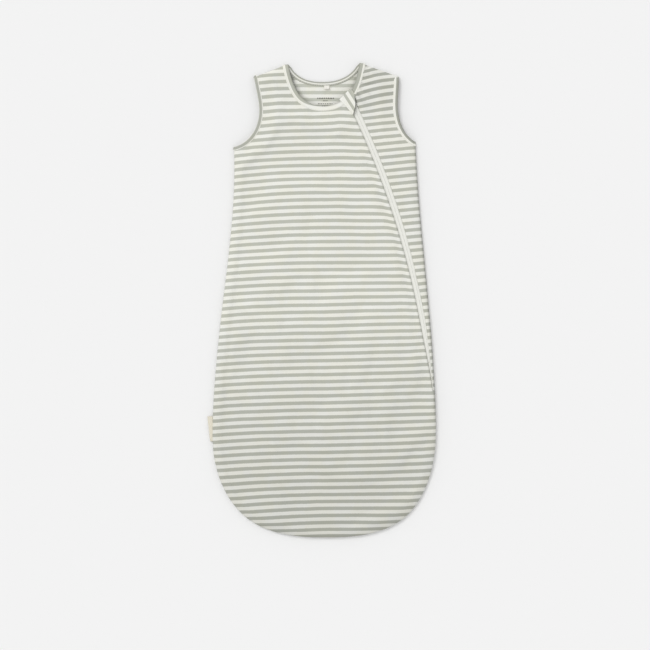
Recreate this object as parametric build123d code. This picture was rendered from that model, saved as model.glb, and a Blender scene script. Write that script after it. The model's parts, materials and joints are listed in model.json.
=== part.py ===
from build123d import *
import math
import os

# Baby sleeping bag lying flat on its back, sleeveless, with an off-centre zip on the front.
# Millimetres. Looking down on the front, +X is to the right and +Y runs from the hem to the neck.
# +Z is up, away from the surface the bag lies on.
# Origin: underside of the back panel, on the centre line, half way between hem and shoulders.

# ---------------------------------------------------------------- fabric layers, from the bottom up
FABRIC = 1.2
CAVITY = 7.8
GAP = 0.05
BINDING_FABRIC = 0.6
BACK_TOP = FABRIC
FRONT_BOTTOM = BACK_TOP + CAVITY
FRONT_TOP = FRONT_BOTTOM + FABRIC
BINDING_TOP = FRONT_TOP + GAP + BINDING_FABRIC

# ---------------------------------------------------------------- outline of the flat bag
HALF_LENGTH = 350.0
NECK_LEFT = (-52.0, 349.5)
NECK_RIGHT = (52.0, 351.0)
FRONT_NECK_SIDE = [(46.2, 324.5), (39.8, 308.5), (23.5, 292.3)]
FRONT_NECK = [(-x, y) for x, y in FRONT_NECK_SIDE] + [(0.0, 286.2)] + FRONT_NECK_SIDE[::-1]
BACK_NECK = [(-33.0, 328.0), (-3.0, 321.8), (27.0, 327.0)]
SHOULDER_LEFT = (-104.7, 329.0)
SHOULDER_RIGHT = (111.5, 330.0)
ARMHOLE_LEFT = [(-99.7, 304.0), (-96.8, 279.0), (-103.8, 251.0)]
ARMHOLE_RIGHT = [(110.3, 305.0), (110.3, 279.0), (119.0, 251.0)]
UNDERARM_LEFT = (-133.0, 227.7)
UNDERARM_RIGHT = (135.0, 235.0)
SIDE_LEFT = [(-139.0, 83.0), (-149.0, 0.0), (-164.0, -165.0)]
SIDE_RIGHT = [(146.0, 83.0), (154.0, 0.0), (165.0, -165.0)]
HEM = [(-159.0, -247.0), (-118.0, -317.6), (3.0, -HALF_LENGTH), (122.0, -317.6), (159.5, -247.0)]

# ---------------------------------------------------------------- bindings and seams
ARMHOLE_BINDING_WIDTH = 8.6
FRONT_NECK_BINDING_WIDTH = 8.5
BACK_NECK_BINDING_WIDTH = 6.0
BINDING_UNDERLAP = 7.0
BINDING_LIP = 1.0
SEAM_WIDTH = 2.5

# ---------------------------------------------------------------- zip: an arc from neck to side seam
ZIP_RADIUS = 1272.0
ZIP_TOP = (34.5, 305.0)
ZIP_BOTTOM = (161.0, -133.0)
CLOSED_END = 42.0
ZIP_HALF_STRIP = 5.0
TAPE_HALF_WIDTH = 14.0
TAPE_THICKNESS = 0.6
HALF_SPLIT = 0.6
COIL_WIDTH = 2.0
COIL_HEIGHT = 1.6
TAPE_TOP = FRONT_BOTTOM - 0.1
TAPE_BOTTOM = TAPE_TOP - TAPE_THICKNESS
COIL_TOP = TAPE_BOTTOM - 0.1
COIL_BOTTOM = COIL_TOP - COIL_HEIGHT
STOP_LENGTH = 3.0
STOP_WIDTH = 2.4
STOP_CLEARANCE = 0.1
GUARD_BOTTOM = 3.4
GUARD_THICKNESS = 1.0
GUARD_HALF_WIDTH = 9.0

# ---------------------------------------------------------------- front flap that folds open
FOLD_START = (-34.0, 306.0)
FOLD_CLEARANCE = 0.15

# ---------------------------------------------------------------- slider and pull tab
SLIDER_FROM_TOP = 14.0
SLIDER_WIDTH = 8.6
SLIDER_LENGTH = 10.0
SLIDER_PLATE = 1.0
PATH_CLEARANCE = 0.3
FLANGE_INSIDE = 3.2
POST_HALF_WIDTH = 0.5
UPPER_PLATE_BOTTOM = TAPE_TOP + GAP
UPPER_PLATE_TOP = UPPER_PLATE_BOTTOM + SLIDER_PLATE
LOWER_PLATE_TOP = COIL_BOTTOM - 0.3
LOWER_PLATE_BOTTOM = LOWER_PLATE_TOP - SLIDER_PLATE
BAR_RADIUS = 0.5
BAR_HEIGHT = UPPER_PLATE_TOP + 0.65
LUG_LENGTH = 1.2
LUG_HALF_WIDTH = 1.1
LUG_OFFSET = 3.2
LUG_TOP = BAR_HEIGHT + 0.85
SPRING_THICKNESS = 0.15
CAP_HALF_WIDTH = 1.7
CAP_HALF_LENGTH = 4.3
CAP_THICKNESS = 0.6
TAB_HALF_WIDTH = 2.7
TAB_ARM = 0.7
TAB_LENGTH = 12.5
TAB_PLATE_START = 5.3
TAB_THICKNESS = 1.0
TAB_WINDOW = (2.2, 3.2)

# ---------------------------------------------------------------- garage, labels
GARAGE_EDGE_TOP = (26.5, 298.5)
GARAGE_EDGE_BOTTOM = (42.7, 273.4)
GARAGE_CORNER = (38.3, 311.5)
GARAGE_BULGE = [(45.5, 301.0), (47.3, 290.0)]
GARAGE_THICKNESS = 1.6
GARAGE_WALL = 1.2
NECK_LABEL = (10.0, 6.5)
NECK_LABEL_CENTRE = (3.6, 311.8)
SIDE_TAG = (8.0, 37.0)
SIDE_TAG_CENTRE = (-168.2, -189.5)
SIDE_TAG_BOTTOM = 4.0
CARE_LABEL = (28.0, 40.0)
CARE_LABEL_CENTRE = (-134.0, -70.0)
CARE_LABEL_BOTTOM = 3.6
LABEL_THICKNESS = 0.6

# ---------------------------------------------------------------- zip geometry worked out from its ends
CHORD = math.dist(ZIP_TOP, ZIP_BOTTOM)
CHORD_MIDDLE = ((ZIP_TOP[0] + ZIP_BOTTOM[0]) / 2, (ZIP_TOP[1] + ZIP_BOTTOM[1]) / 2)
CHORD_UNIT = ((ZIP_BOTTOM[0] - ZIP_TOP[0]) / CHORD, (ZIP_BOTTOM[1] - ZIP_TOP[1]) / CHORD)
CENTRE_DEPTH = math.sqrt(ZIP_RADIUS**2 - (CHORD / 2) ** 2)
ZIP_CENTRE = (
    CHORD_MIDDLE[0] + CHORD_UNIT[1] * CENTRE_DEPTH,
    CHORD_MIDDLE[1] - CHORD_UNIT[0] * CENTRE_DEPTH,
)


def zip_angle(point):
    """Angle of a point seen from the centre of the zip's arc, in degrees."""
    return math.degrees(math.atan2(point[1] - ZIP_CENTRE[1], point[0] - ZIP_CENTRE[0]))


def arc_degrees(length):
    """Angle that a length along the zip spans."""
    return math.degrees(length / ZIP_RADIUS)


def zip_point(offset, angle):
    """Point at a sideways offset from the zip's centre line, at an angle along it."""
    radius = ZIP_RADIUS + offset
    turn = math.radians(angle)
    return (ZIP_CENTRE[0] + radius * math.cos(turn), ZIP_CENTRE[1] + radius * math.sin(turn))


ANGLE_TOP = zip_angle(ZIP_TOP)
ANGLE_BOTTOM = zip_angle(ZIP_BOTTOM)
ANGLE_SLIDER = ANGLE_TOP - arc_degrees(SLIDER_FROM_TOP)
ANGLE_TOP_STOP = ANGLE_TOP - arc_degrees(SLIDER_FROM_TOP - SLIDER_LENGTH / 2 - STOP_LENGTH / 2 - 0.5)
ANGLE_OPENING = ANGLE_BOTTOM + arc_degrees(CLOSED_END)
ANGLE_BOTTOM_STOP = ANGLE_OPENING + arc_degrees(STOP_LENGTH)
ANGLE_COIL_TOP = ANGLE_TOP_STOP - arc_degrees(STOP_LENGTH / 2 + STOP_CLEARANCE)
ANGLE_COIL_BOTTOM = ANGLE_BOTTOM_STOP + arc_degrees(STOP_LENGTH / 2 + STOP_CLEARANCE)
FAR = 400.0


def zip_band(inner, outer, low_angle, high_angle):
    """Flat band between two sideways offsets from the zip's centre line."""
    sweep = high_angle - low_angle
    outer_arc = CenterArc(ZIP_CENTRE, ZIP_RADIUS + outer, low_angle, sweep)
    inner_arc = CenterArc(ZIP_CENTRE, ZIP_RADIUS + inner, low_angle, sweep)
    ends = [Line(inner_arc @ 0, outer_arc @ 0), Line(inner_arc @ 1, outer_arc @ 1)]
    return make_face([outer_arc, inner_arc] + ends)


def layer(face, low, high):
    """A flat piece: the face raised from height low to height high."""
    return Pos(0, 0, low) * extrude(face, high - low, dir=(0, 0, 1))


def tall(face):
    """The face as a column through every layer, for cutting."""
    return layer(face, -1.0, BINDING_TOP + 5.0)


def band_along(curve, width):
    """Column that reaches a width to both sides of a curve."""
    return tall(trace(curve, 2 * width))


def block(x_low, x_high, y_low, y_high, z_low, z_high):
    """Box between two corners."""
    size = (x_high - x_low, y_high - y_low, z_high - z_low)
    centre = ((x_low + x_high) / 2, (y_low + y_high) / 2, (z_low + z_high) / 2)
    return Pos(*centre) * Box(*size)


def on_zip(piece, angle):
    """Places a piece modelled at the origin, with +Y up the zip, at an angle along the zip."""
    return Pos(*zip_point(0, angle), 0) * Rot(0, 0, angle) * piece


# ---------------------------------------------------------------- curves of the outline
front_neck_curve = Spline([NECK_LEFT] + FRONT_NECK + [NECK_RIGHT])
back_neck_curve = Spline([NECK_LEFT] + BACK_NECK + [NECK_RIGHT])
shoulder_left_line = Line(NECK_LEFT, SHOULDER_LEFT)
shoulder_right_line = Line(NECK_RIGHT, SHOULDER_RIGHT)
armhole_left_curve = Spline([SHOULDER_LEFT] + ARMHOLE_LEFT + [UNDERARM_LEFT])
armhole_right_curve = Spline([SHOULDER_RIGHT] + ARMHOLE_RIGHT + [UNDERARM_RIGHT])
body_points = [UNDERARM_LEFT] + SIDE_LEFT + HEM + SIDE_RIGHT[::-1] + [UNDERARM_RIGHT]
body_curve = Spline(body_points)
shared_curves = [
    shoulder_left_line,
    shoulder_right_line,
    armhole_left_curve,
    armhole_right_curve,
    body_curve,
]
front_outline = make_face(shared_curves + [front_neck_curve])
back_outline = make_face(shared_curves + [back_neck_curve])
front_column = tall(front_outline)
back_column = tall(back_outline)

armhole_left_column = band_along(armhole_left_curve, ARMHOLE_BINDING_WIDTH)
armhole_right_column = band_along(armhole_right_curve, ARMHOLE_BINDING_WIDTH)
front_lips = [
    band_along(curve, BINDING_LIP + GAP)
    for curve in (front_neck_curve, armhole_left_curve, armhole_right_curve)
]
back_lips = [
    band_along(curve, BINDING_LIP + GAP)
    for curve in (back_neck_curve, armhole_left_curve, armhole_right_curve)
]
seam_column = band_along(body_curve, SEAM_WIDTH + GAP)

# ---------------------------------------------------------------- the part of the front that can fold open
FOLD_END = zip_point(-ZIP_HALF_STRIP, ANGLE_OPENING)
FOLD_LENGTH = math.dist(FOLD_START, FOLD_END)
FOLD_UNIT = ((FOLD_END[0] - FOLD_START[0]) / FOLD_LENGTH, (FOLD_END[1] - FOLD_START[1]) / FOLD_LENGTH)
FOLD_SIDE = (-FOLD_UNIT[1], FOLD_UNIT[0])


def opening_zone(clearance):
    """Column over everything between the fold line, the opening's lower end and the right hand side."""
    start = (FOLD_START[0] + clearance * FOLD_SIDE[0], FOLD_START[1] + clearance * FOLD_SIDE[1])
    corner = zip_point(-ZIP_HALF_STRIP + clearance, ANGLE_OPENING + arc_degrees(clearance))
    outside = zip_point(FAR, ANGLE_OPENING + arc_degrees(clearance))
    above_neck = (0.0, HALF_LENGTH + FAR)
    in_neck = (0.0, HALF_LENGTH)
    beyond = (outside[0], above_neck[1])
    return tall(make_face(Polyline(start, corner, outside, beyond, above_neck, in_neck, start)))


open_zone = opening_zone(0.0)
flap_zone = opening_zone(FOLD_CLEARANCE)
left_of_zip = tall(zip_band(-2 * FAR, -ZIP_HALF_STRIP, 0, 60))
right_of_zip = tall(zip_band(ZIP_HALF_STRIP, FAR, ANGLE_BOTTOM, 60))
right_of_strip_edge = tall(zip_band(-ZIP_HALF_STRIP, FAR, ANGLE_BOTTOM, 60))
left_of_zip_bindings = tall(zip_band(-2 * FAR, -ZIP_HALF_STRIP - GAP, 0, 60))
right_of_zip_bindings = tall(zip_band(ZIP_HALF_STRIP + GAP, FAR, 0, 60))


# ---------------------------------------------------------------- panels
def back_panel():
    """One piece of jersey from hem to shoulders, with the higher neckline."""
    panel = layer(back_outline, 0, BACK_TOP)
    for lip in back_lips:
        panel -= lip
    return panel


def whole_front():
    """The front layer before it is divided at the zip."""
    front = layer(front_outline, FRONT_BOTTOM, FRONT_TOP)
    for lip in front_lips:
        front -= lip
    return front


front = whole_front()


def front_panel():
    """The front to the left of the zip, below and left of the line it folds along."""
    return front - open_zone - right_of_strip_edge


def front_flap_panel():
    """The corner of the front that folds back when the zip is open."""
    return front & flap_zone & left_of_zip


def side_front_panel():
    """The narrow front piece between the zip and the side seam."""
    return front & right_of_zip


# ---------------------------------------------------------------- seams
def seam(curve, outline_column, cuts):
    """The joined seam allowances of front and back, just inside an edge of the outline."""
    strip = layer(trace(curve, 2 * SEAM_WIDTH), BACK_TOP + GAP, FRONT_BOTTOM - GAP) & outline_column
    for cut in cuts:
        strip -= cut
    return strip


HEM_HEIGHT = SIDE_LEFT[-1][1]


def side_and_hem_seam():
    """The closed seam round the bag from one underarm to the other."""
    return seam(body_curve, front_column, [armhole_left_column, armhole_right_column])


def side_seam_left():
    return side_and_hem_seam() & block(-FAR, 0, HEM_HEIGHT + GAP, FAR, 0, FRONT_TOP)


def side_seam_right():
    """Cut back where the slider passes it."""
    slider_path = tall(zip_band(-SLIDER_WIDTH, SLIDER_WIDTH / 2 + PATH_CLEARANCE, ANGLE_OPENING, 60))
    seam_right = side_and_hem_seam() & block(0, FAR, HEM_HEIGHT + GAP, FAR, 0, FRONT_TOP)
    return seam_right - slider_path


def hem_seam():
    return side_and_hem_seam() & block(-FAR, FAR, -FAR, HEM_HEIGHT - GAP, 0, FRONT_TOP)


def shoulder_seam(line):
    """Seam between the neck binding and the armhole binding of one shoulder."""
    start = (FRONT_NECK_BINDING_WIDTH + SEAM_WIDTH) / line.length
    end = 1 - (ARMHOLE_BINDING_WIDTH + SEAM_WIDTH) / line.length
    return seam(Line(line @ start, line @ end), back_column, [])


def shoulder_seam_left():
    return shoulder_seam(shoulder_left_line)


def shoulder_seam_right():
    return shoulder_seam(shoulder_right_line)


# ---------------------------------------------------------------- bindings
def front_binding(curve, width):
    """Folded fabric strip round a front edge: over the panel, round its edge and under it."""
    outside = BINDING_FABRIC + GAP
    over = layer(trace(curve, 2 * width), FRONT_TOP + GAP, BINDING_TOP)
    lip = layer(trace(curve, 2 * BINDING_LIP), FRONT_BOTTOM - outside, BINDING_TOP)
    under = layer(trace(curve, 2 * BINDING_UNDERLAP), FRONT_BOTTOM - outside, FRONT_BOTTOM - GAP)
    return (over + lip + under) & front_column


def back_binding(curve, width):
    """Folded fabric strip on a back edge, kept flush with the underside the bag rests on."""
    over = layer(trace(curve, 2 * width), BACK_TOP + GAP, BACK_TOP + GAP + BINDING_FABRIC)
    lip = layer(trace(curve, 2 * BINDING_LIP), 0, BACK_TOP + GAP + BINDING_FABRIC)
    return (over + lip) & back_column


def joining_post(curve, point):
    """Where the binding passes over the end of a seam, from the back layer to the front layer."""
    column = layer(trace(curve, 2 * BINDING_LIP), 0, BINDING_TOP) & back_column
    return column & tall(Pos(*point) * Circle(4.0))


def armhole_binding(curve, shoulder, underarm):
    ring = front_binding(curve, ARMHOLE_BINDING_WIDTH) + back_binding(curve, ARMHOLE_BINDING_WIDTH)
    return ring + joining_post(curve, shoulder) + joining_post(curve, underarm)


def armhole_binding_left():
    return armhole_binding(armhole_left_curve, SHOULDER_LEFT, UNDERARM_LEFT)


def armhole_binding_right():
    return armhole_binding(armhole_right_curve, SHOULDER_RIGHT, UNDERARM_RIGHT)


def neck_binding_front():
    """The neck binding from the fold line to the zip."""
    strip = front_binding(front_neck_curve, FRONT_NECK_BINDING_WIDTH)
    return strip & flap_zone & left_of_zip_bindings


def neck_binding_back():
    """The same binding from the fold line over the left shoulder, round the back and down to the zip."""
    strip = front_binding(front_neck_curve, FRONT_NECK_BINDING_WIDTH)
    right = strip & right_of_zip_bindings
    left = strip - open_zone
    back = back_binding(back_neck_curve, BACK_NECK_BINDING_WIDTH)
    posts = joining_post(back_neck_curve, NECK_LEFT) + joining_post(back_neck_curve, NECK_RIGHT)
    return back + left + right + posts


# ---------------------------------------------------------------- zip
inside_seams = front_column - seam_column
tape_top_trim = band_along(front_neck_curve, BINDING_UNDERLAP + GAP)


def zip_tape(inner, outer, low_angle, high_angle):
    """Woven tape on one side of the zip."""
    face = zip_band(inner, outer, low_angle, high_angle)
    tape = layer(face, TAPE_BOTTOM, TAPE_TOP) & inside_seams
    for lip in front_lips:
        tape -= lip
    return tape - tape_top_trim


def zip_tape_left():
    """Sewn to the flap as far as the end of the opening."""
    return zip_tape(-TAPE_HALF_WIDTH, -HALF_SPLIT, ANGLE_OPENING, ANGLE_TOP) & flap_zone


def zip_tape_left_tail():
    """The same tape's end, sewn to the front panel between the opening and the side seam."""
    high = ANGLE_OPENING - arc_degrees(GAP)
    return zip_tape(-TAPE_HALF_WIDTH, -HALF_SPLIT, ANGLE_BOTTOM, high)


def zip_tape_right():
    return zip_tape(HALF_SPLIT, TAPE_HALF_WIDTH, ANGLE_BOTTOM, ANGLE_TOP)


def zip_coil(inner, outer):
    """Coil teeth of one side, as one continuous rail under the tape."""
    return layer(zip_band(inner, outer, ANGLE_COIL_BOTTOM, ANGLE_COIL_TOP), COIL_BOTTOM, COIL_TOP)


def zip_coil_left():
    return zip_coil(-HALF_SPLIT - COIL_WIDTH, -HALF_SPLIT) & flap_zone


def zip_coil_right():
    return zip_coil(HALF_SPLIT, HALF_SPLIT + COIL_WIDTH)


def top_stop(side):
    """Small crimp at the top end of one coil."""
    inner = side * HALF_SPLIT
    outer = side * (HALF_SPLIT + STOP_WIDTH)
    half = STOP_LENGTH / 2
    crimp = block(min(inner, outer), max(inner, outer), -half, half, COIL_BOTTOM, COIL_TOP)
    return on_zip(fillet(crimp.edges().filter_by(Axis.Z), 0.4), ANGLE_TOP_STOP)


def zip_top_stop_left():
    return top_stop(-1)


def zip_top_stop_right():
    return top_stop(1)


def zip_bottom_stop():
    """Crimp that joins both coils at the lower end."""
    half_width = HALF_SPLIT + STOP_WIDTH
    half = STOP_LENGTH / 2
    crimp = block(-half_width, half_width, -half, half, COIL_BOTTOM, COIL_TOP)
    return on_zip(fillet(crimp.edges().filter_by(Axis.Z), 0.6), ANGLE_BOTTOM_STOP)


def inner_zip_guard():
    """Jersey strip behind the zip that keeps it off the skin."""
    face = zip_band(-GUARD_HALF_WIDTH, GUARD_HALF_WIDTH, ANGLE_BOTTOM, ANGLE_TOP)
    guard = layer(face, GUARD_BOTTOM, GUARD_BOTTOM + GUARD_THICKNESS)
    return guard & inside_seams


# ---------------------------------------------------------------- slider
def slider_body():
    """Two plates joined by the post that parts the coils, flanges at the sides, lugs on top."""
    half_width = SLIDER_WIDTH / 2
    half_length = SLIDER_LENGTH / 2
    upper = block(-half_width, half_width, -half_length, half_length, UPPER_PLATE_BOTTOM, UPPER_PLATE_TOP)
    lower = block(-half_width, half_width, -half_length, half_length, LOWER_PLATE_BOTTOM, LOWER_PLATE_TOP)
    upper = fillet(upper.edges().filter_by(Axis.Z), 1.6)
    lower = fillet(lower.edges().filter_by(Axis.Z), 1.6)
    post = block(
        -POST_HALF_WIDTH,
        POST_HALF_WIDTH,
        half_length - 3.5,
        half_length,
        LOWER_PLATE_TOP,
        UPPER_PLATE_BOTTOM,
    )
    body = upper + lower + post
    for side in (-1, 1):
        edges = sorted((side * FLANGE_INSIDE, side * half_width))
        body += block(*edges, -half_length + 1.6, half_length - 1.6, LOWER_PLATE_TOP, COIL_TOP)
        middle = side * LUG_OFFSET
        lug = block(
            -LUG_HALF_WIDTH,
            LUG_HALF_WIDTH,
            middle - LUG_LENGTH / 2,
            middle + LUG_LENGTH / 2,
            UPPER_PLATE_TOP,
            LUG_TOP,
        )
        body += lug
    return on_zip(body, ANGLE_SLIDER)


def slider_lock_spring():
    """Leaf spring that holds the slider where it is left."""
    half = LUG_OFFSET + LUG_LENGTH / 2
    leaf = block(-0.7, 0.7, -half, half, LUG_TOP + GAP, LUG_TOP + GAP + SPRING_THICKNESS)
    return on_zip(leaf, ANGLE_SLIDER)


def slider_cap():
    """Cover over the lugs and the spring."""
    low = LUG_TOP + 2 * GAP + SPRING_THICKNESS
    cap = block(
        -CAP_HALF_WIDTH,
        CAP_HALF_WIDTH,
        -CAP_HALF_LENGTH,
        CAP_HALF_LENGTH,
        low,
        low + CAP_THICKNESS,
    )
    cap = fillet(cap.edges().filter_by(Axis.Z), 1.2)
    return on_zip(fillet(cap.faces().sort_by(Axis.Z)[-1].edges(), 0.25), ANGLE_SLIDER)


def pull_tab():
    """Flat tab on two arms, joined by the bar that turns between the lugs."""
    half_tab = TAB_THICKNESS / 2
    outline = block(
        -TAB_HALF_WIDTH,
        TAB_HALF_WIDTH,
        TAB_PLATE_START,
        TAB_LENGTH,
        BAR_HEIGHT - half_tab,
        BAR_HEIGHT + half_tab,
    )
    tab = fillet(outline.edges().filter_by(Axis.Z).sort_by(Axis.Y)[-2:], 1.8)
    window_middle = (TAB_PLATE_START + TAB_LENGTH) / 2
    half_window = (TAB_WINDOW[0] / 2, TAB_WINDOW[1] / 2)
    window = block(
        -half_window[0],
        half_window[0],
        window_middle - half_window[1],
        window_middle + half_window[1],
        0,
        BAR_HEIGHT + 5,
    )
    tab -= window
    for side in (-1, 1):
        edges = sorted((side * TAB_HALF_WIDTH, side * (TAB_HALF_WIDTH - TAB_ARM)))
        tab += block(*edges, -BAR_RADIUS, TAB_PLATE_START, BAR_HEIGHT - half_tab, BAR_HEIGHT + half_tab)
    bar = Pos(0, 0, BAR_HEIGHT) * Rot(0, 90, 0) * Cylinder(BAR_RADIUS, 2 * TAB_HALF_WIDTH)
    return on_zip(tab + bar, ANGLE_SLIDER)


# ---------------------------------------------------------------- garage and labels
GARAGE_BOTTOM = LUG_TOP + 2 * GAP + SPRING_THICKNESS + CAP_THICKNESS + 0.4


def zip_garage():
    """Folded fabric pocket over the top of the zip, sewn down along its left edge."""
    edge = Line(GARAGE_EDGE_TOP, GARAGE_EDGE_BOTTOM)
    free_edge = Spline([GARAGE_EDGE_BOTTOM] + GARAGE_BULGE[::-1] + [GARAGE_CORNER])
    outline = make_face([edge, free_edge, Line(GARAGE_CORNER, GARAGE_EDGE_TOP)])
    cover = layer(outline, GARAGE_BOTTOM, GARAGE_BOTTOM + GARAGE_THICKNESS)
    wall = layer(trace(edge, 2 * GARAGE_WALL), BINDING_TOP + GAP, GARAGE_BOTTOM) & tall(outline)
    return cover + wall


def label(size, centre, low):
    """Flat woven label."""
    shape = Pos(*centre) * Rectangle(*size)
    return layer(shape, low, low + LABEL_THICKNESS)


def neck_label():
    return label(NECK_LABEL, NECK_LABEL_CENTRE, BACK_TOP + GAP)


def side_tag():
    """Folded tab that stands out of the left side seam."""
    return label(SIDE_TAG, SIDE_TAG_CENTRE, SIDE_TAG_BOTTOM) - band_along(body_curve, GAP) - front_column


def care_label():
    """Label inside the bag, hanging from the left side seam."""
    return label(CARE_LABEL, CARE_LABEL_CENTRE, CARE_LABEL_BOTTOM)


PIECES = [
    back_panel,
    front_panel,
    front_flap_panel,
    side_front_panel,
    side_seam_left,
    side_seam_right,
    hem_seam,
    shoulder_seam_left,
    shoulder_seam_right,
    neck_binding_front,
    neck_binding_back,
    armhole_binding_left,
    armhole_binding_right,
    zip_tape_left,
    zip_tape_left_tail,
    zip_tape_right,
    zip_coil_left,
    zip_coil_right,
    zip_top_stop_left,
    zip_top_stop_right,
    zip_bottom_stop,
    inner_zip_guard,
    slider_body,
    slider_lock_spring,
    slider_cap,
    pull_tab,
    zip_garage,
    neck_label,
    side_tag,
    care_label,
]

os.makedirs("parts", exist_ok=True)
for piece in PIECES:
    export_step(piece(), os.path.join("parts", piece.__name__ + ".step"))
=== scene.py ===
import json
import math

import bpy
import numpy as np
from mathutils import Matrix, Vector, geometry, noise
from mathutils.bvhtree import BVHTree


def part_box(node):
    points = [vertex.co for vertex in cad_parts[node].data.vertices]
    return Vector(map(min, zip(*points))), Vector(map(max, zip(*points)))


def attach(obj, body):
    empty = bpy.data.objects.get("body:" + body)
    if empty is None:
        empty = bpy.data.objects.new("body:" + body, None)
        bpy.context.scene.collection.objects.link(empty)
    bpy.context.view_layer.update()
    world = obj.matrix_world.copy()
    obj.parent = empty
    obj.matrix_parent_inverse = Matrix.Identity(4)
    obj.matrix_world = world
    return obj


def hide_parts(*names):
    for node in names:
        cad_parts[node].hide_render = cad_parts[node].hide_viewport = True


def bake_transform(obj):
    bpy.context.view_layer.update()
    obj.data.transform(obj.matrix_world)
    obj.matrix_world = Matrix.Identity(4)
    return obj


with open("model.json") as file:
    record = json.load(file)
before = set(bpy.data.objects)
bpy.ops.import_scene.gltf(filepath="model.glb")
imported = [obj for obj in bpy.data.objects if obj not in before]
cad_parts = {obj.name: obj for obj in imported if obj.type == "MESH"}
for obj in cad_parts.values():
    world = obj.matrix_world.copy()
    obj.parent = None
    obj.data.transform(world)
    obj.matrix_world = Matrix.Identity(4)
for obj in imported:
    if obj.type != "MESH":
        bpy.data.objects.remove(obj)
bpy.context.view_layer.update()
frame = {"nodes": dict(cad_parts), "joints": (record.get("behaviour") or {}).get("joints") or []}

# Lengths in this script are millimetres, in the part's own frame, until a mesh is made.
MM = 0.001

# ---------------- driving dimensions
GRID = 4.2                    # spacing of the fabric mesh
SEAM_HEIGHT = 2.6             # height of the side and hem seam above the floor
LOFT = 10.4                   # height of the front layer over most of the bag
ROLL_WIDTH = 13.0             # width over which the front curves down to a seam
BACK_ROLL_WIDTH = 11.0        # width over which the back curves up to a seam
BACK_HEIGHT = 0.5             # height of the back layer over the floor
FABRIC = 0.9                  # thickness of the jersey
STRIPE_PITCH = 10.333
FIRST_STRIPE = 260.4          # y of the first sage stripe under the neck
SIDE_STRIPE_PITCH = 10.08     # the side panel's stripes, and the y of its first one
SIDE_FIRST_STRIPE = 213.7
SIDE_PATTERN_MIDDLE = 112.0
BACK_FIRST_STRIPE = 317.5
STRIPE_ROWS = 58
STRIPE_SAG = 0.171            # how far the middle stripes sit above even spacing, in stripes
PATTERN_MIDDLE = 1.5          # the stripes are level at this x
LEFT_DROP = 5.9               # how far the stripes fall towards the left side
RIGHT_SLOPE = 0.026           # how they rise to the right, low on the bag
SHOULDER_DRAG = 5.2           # how far the shoulder stripes are pulled down beside the neck
NECK_HEIGHT = 7.4             # height of the front layer at the neck
ARM_HEIGHT = 7.2              # height of the front layer at the armholes
ZIP_EDGE_HEIGHT = 9.9         # height of the front layer where the zip meets the neck
ARM_BLEND = 30.0              # width over which it comes down to the armholes
NECK_BLEND = 34.0             # and to the neck
ZIP_BLEND = 22.0              # and over which it comes level beside the zip
BELLY = 1.8                   # how much fuller the middle of the bag lies
EDGE_TRIM = 1.5               # how far the panels stop short of a bound edge
BAND_THICK = 2.4              # thickness of a folded binding
LOWEST = 0.06                 # how far the bindings stay above the floor
NECK_BAND = 8.8               # width of the front neck binding
BACK_NECK_BAND = 6.2
# Armhole bindings: side, width, sage stripes as distances from the fold, and how dark the sage is, with
# painted shade that is deeper on the right binding, away from the light.
ARM_BANDS = (("left", 6.02, [(0.9, 4.7)], 0.84), ("right", 7.224, [(-1.0, 3.7)], 0.74))
BACK_NECK_STRIPES = [(-1.0, 2.2), (3.9, 8.0)]
RIGHT_NECK_STRIPES = [(-1.0, 5.6)]
GARAGE_STRIPES = [(3.4, 7.6), (12.6, 17.4)]
GUARD_STRIPES = [(-8.0, -3.0), (3.0, 8.0)]
GARAGE_HALF = 0.85            # half the thickness of the folded garage
TAPE_THICKNESS = 0.55
COIL_PITCH = 1.6
COIL_WIRE = 0.24              # radius of the coil's filament
OVERLOCK_PITCH = 3.2
OVERLOCK_WIDTH = 5.0
STITCH_LENGTH = 2.3
STITCH_GAP = 1.1
# Rows of bars inside the neck: y, the x they start at and end at, and their height.
PRINT_ROWS = ((298.7, -10.0, 15.5, 1.9), (295.0, -1.5, 5.0, 1.3),
              (290.6, -9.0, 12.0, 1.1), (287.4, -3.0, 6.0, 1.3))
SLACK_GRID = 5.5              # mesh spacing of the simulated front layer
CLOTH_FRAMES = 24
CLOTH_GROWTH = 0.012          # how much larger the cloth is than its frame of seams
CLOTH_SETTINGS = {"quality": 6, "mass": 0.12, "tension_stiffness": 14.0, "compression_stiffness": 14.0,
                  "shear_stiffness": 5.0, "bending_stiffness": 0.02, "air_damping": 3.0,
                  "shrink_min": -CLOTH_GROWTH, "pin_stiffness": 1.0}
LIFT_CAP = 2.6                # most that the simulation may lift or sink the cloth
SIDE_CAP = 1.0                # and most that it may move it sideways
WORLD_LIGHT = 0.76            # even light from all round
SUN_LIGHT = 0.95
SUN_SPREAD = 24.0             # degrees; a wide sun gives soft shadows
CAMERA_HEIGHT = 3000.0        # above the bag, looking straight down
PICTURE_WIDTH = 958.0         # width of the view at the bag
PICTURE_MIDDLE = (1.5, -36.1)
FLOOR_REACH = 4.0             # metres
FLOOR_GREY = 243.4            # in sRGB levels
FLOOR_DROP = 0.0004           # metres below the part's lowest face
SENSOR_WIDTH = 36.0

# ---------------- small tools


def joint(name):
    return next(j for j in frame["joints"] if j["name"] == name)


def low_high(node):
    """Lowest and highest corner of a CAD node, in millimetres."""
    low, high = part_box(node)
    return np.array(low) / MM, np.array(high) / MM


def mesh_points(mesh):
    co = np.empty(len(mesh.vertices) * 3)
    mesh.vertices.foreach_get("co", co)
    return co.reshape(-1, 3) / MM


def node_points(node):
    return mesh_points(frame["nodes"][node].data)


def placed(name, data):
    """A new object in the scene."""
    obj = bpy.data.objects.new(name, data)
    bpy.context.scene.collection.objects.link(obj)
    return obj


def smooth(t):
    """A soft step from 0 to 1."""
    t = np.clip(t, 0.0, 1.0)
    return t * t * (3 - 2 * t)


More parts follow.
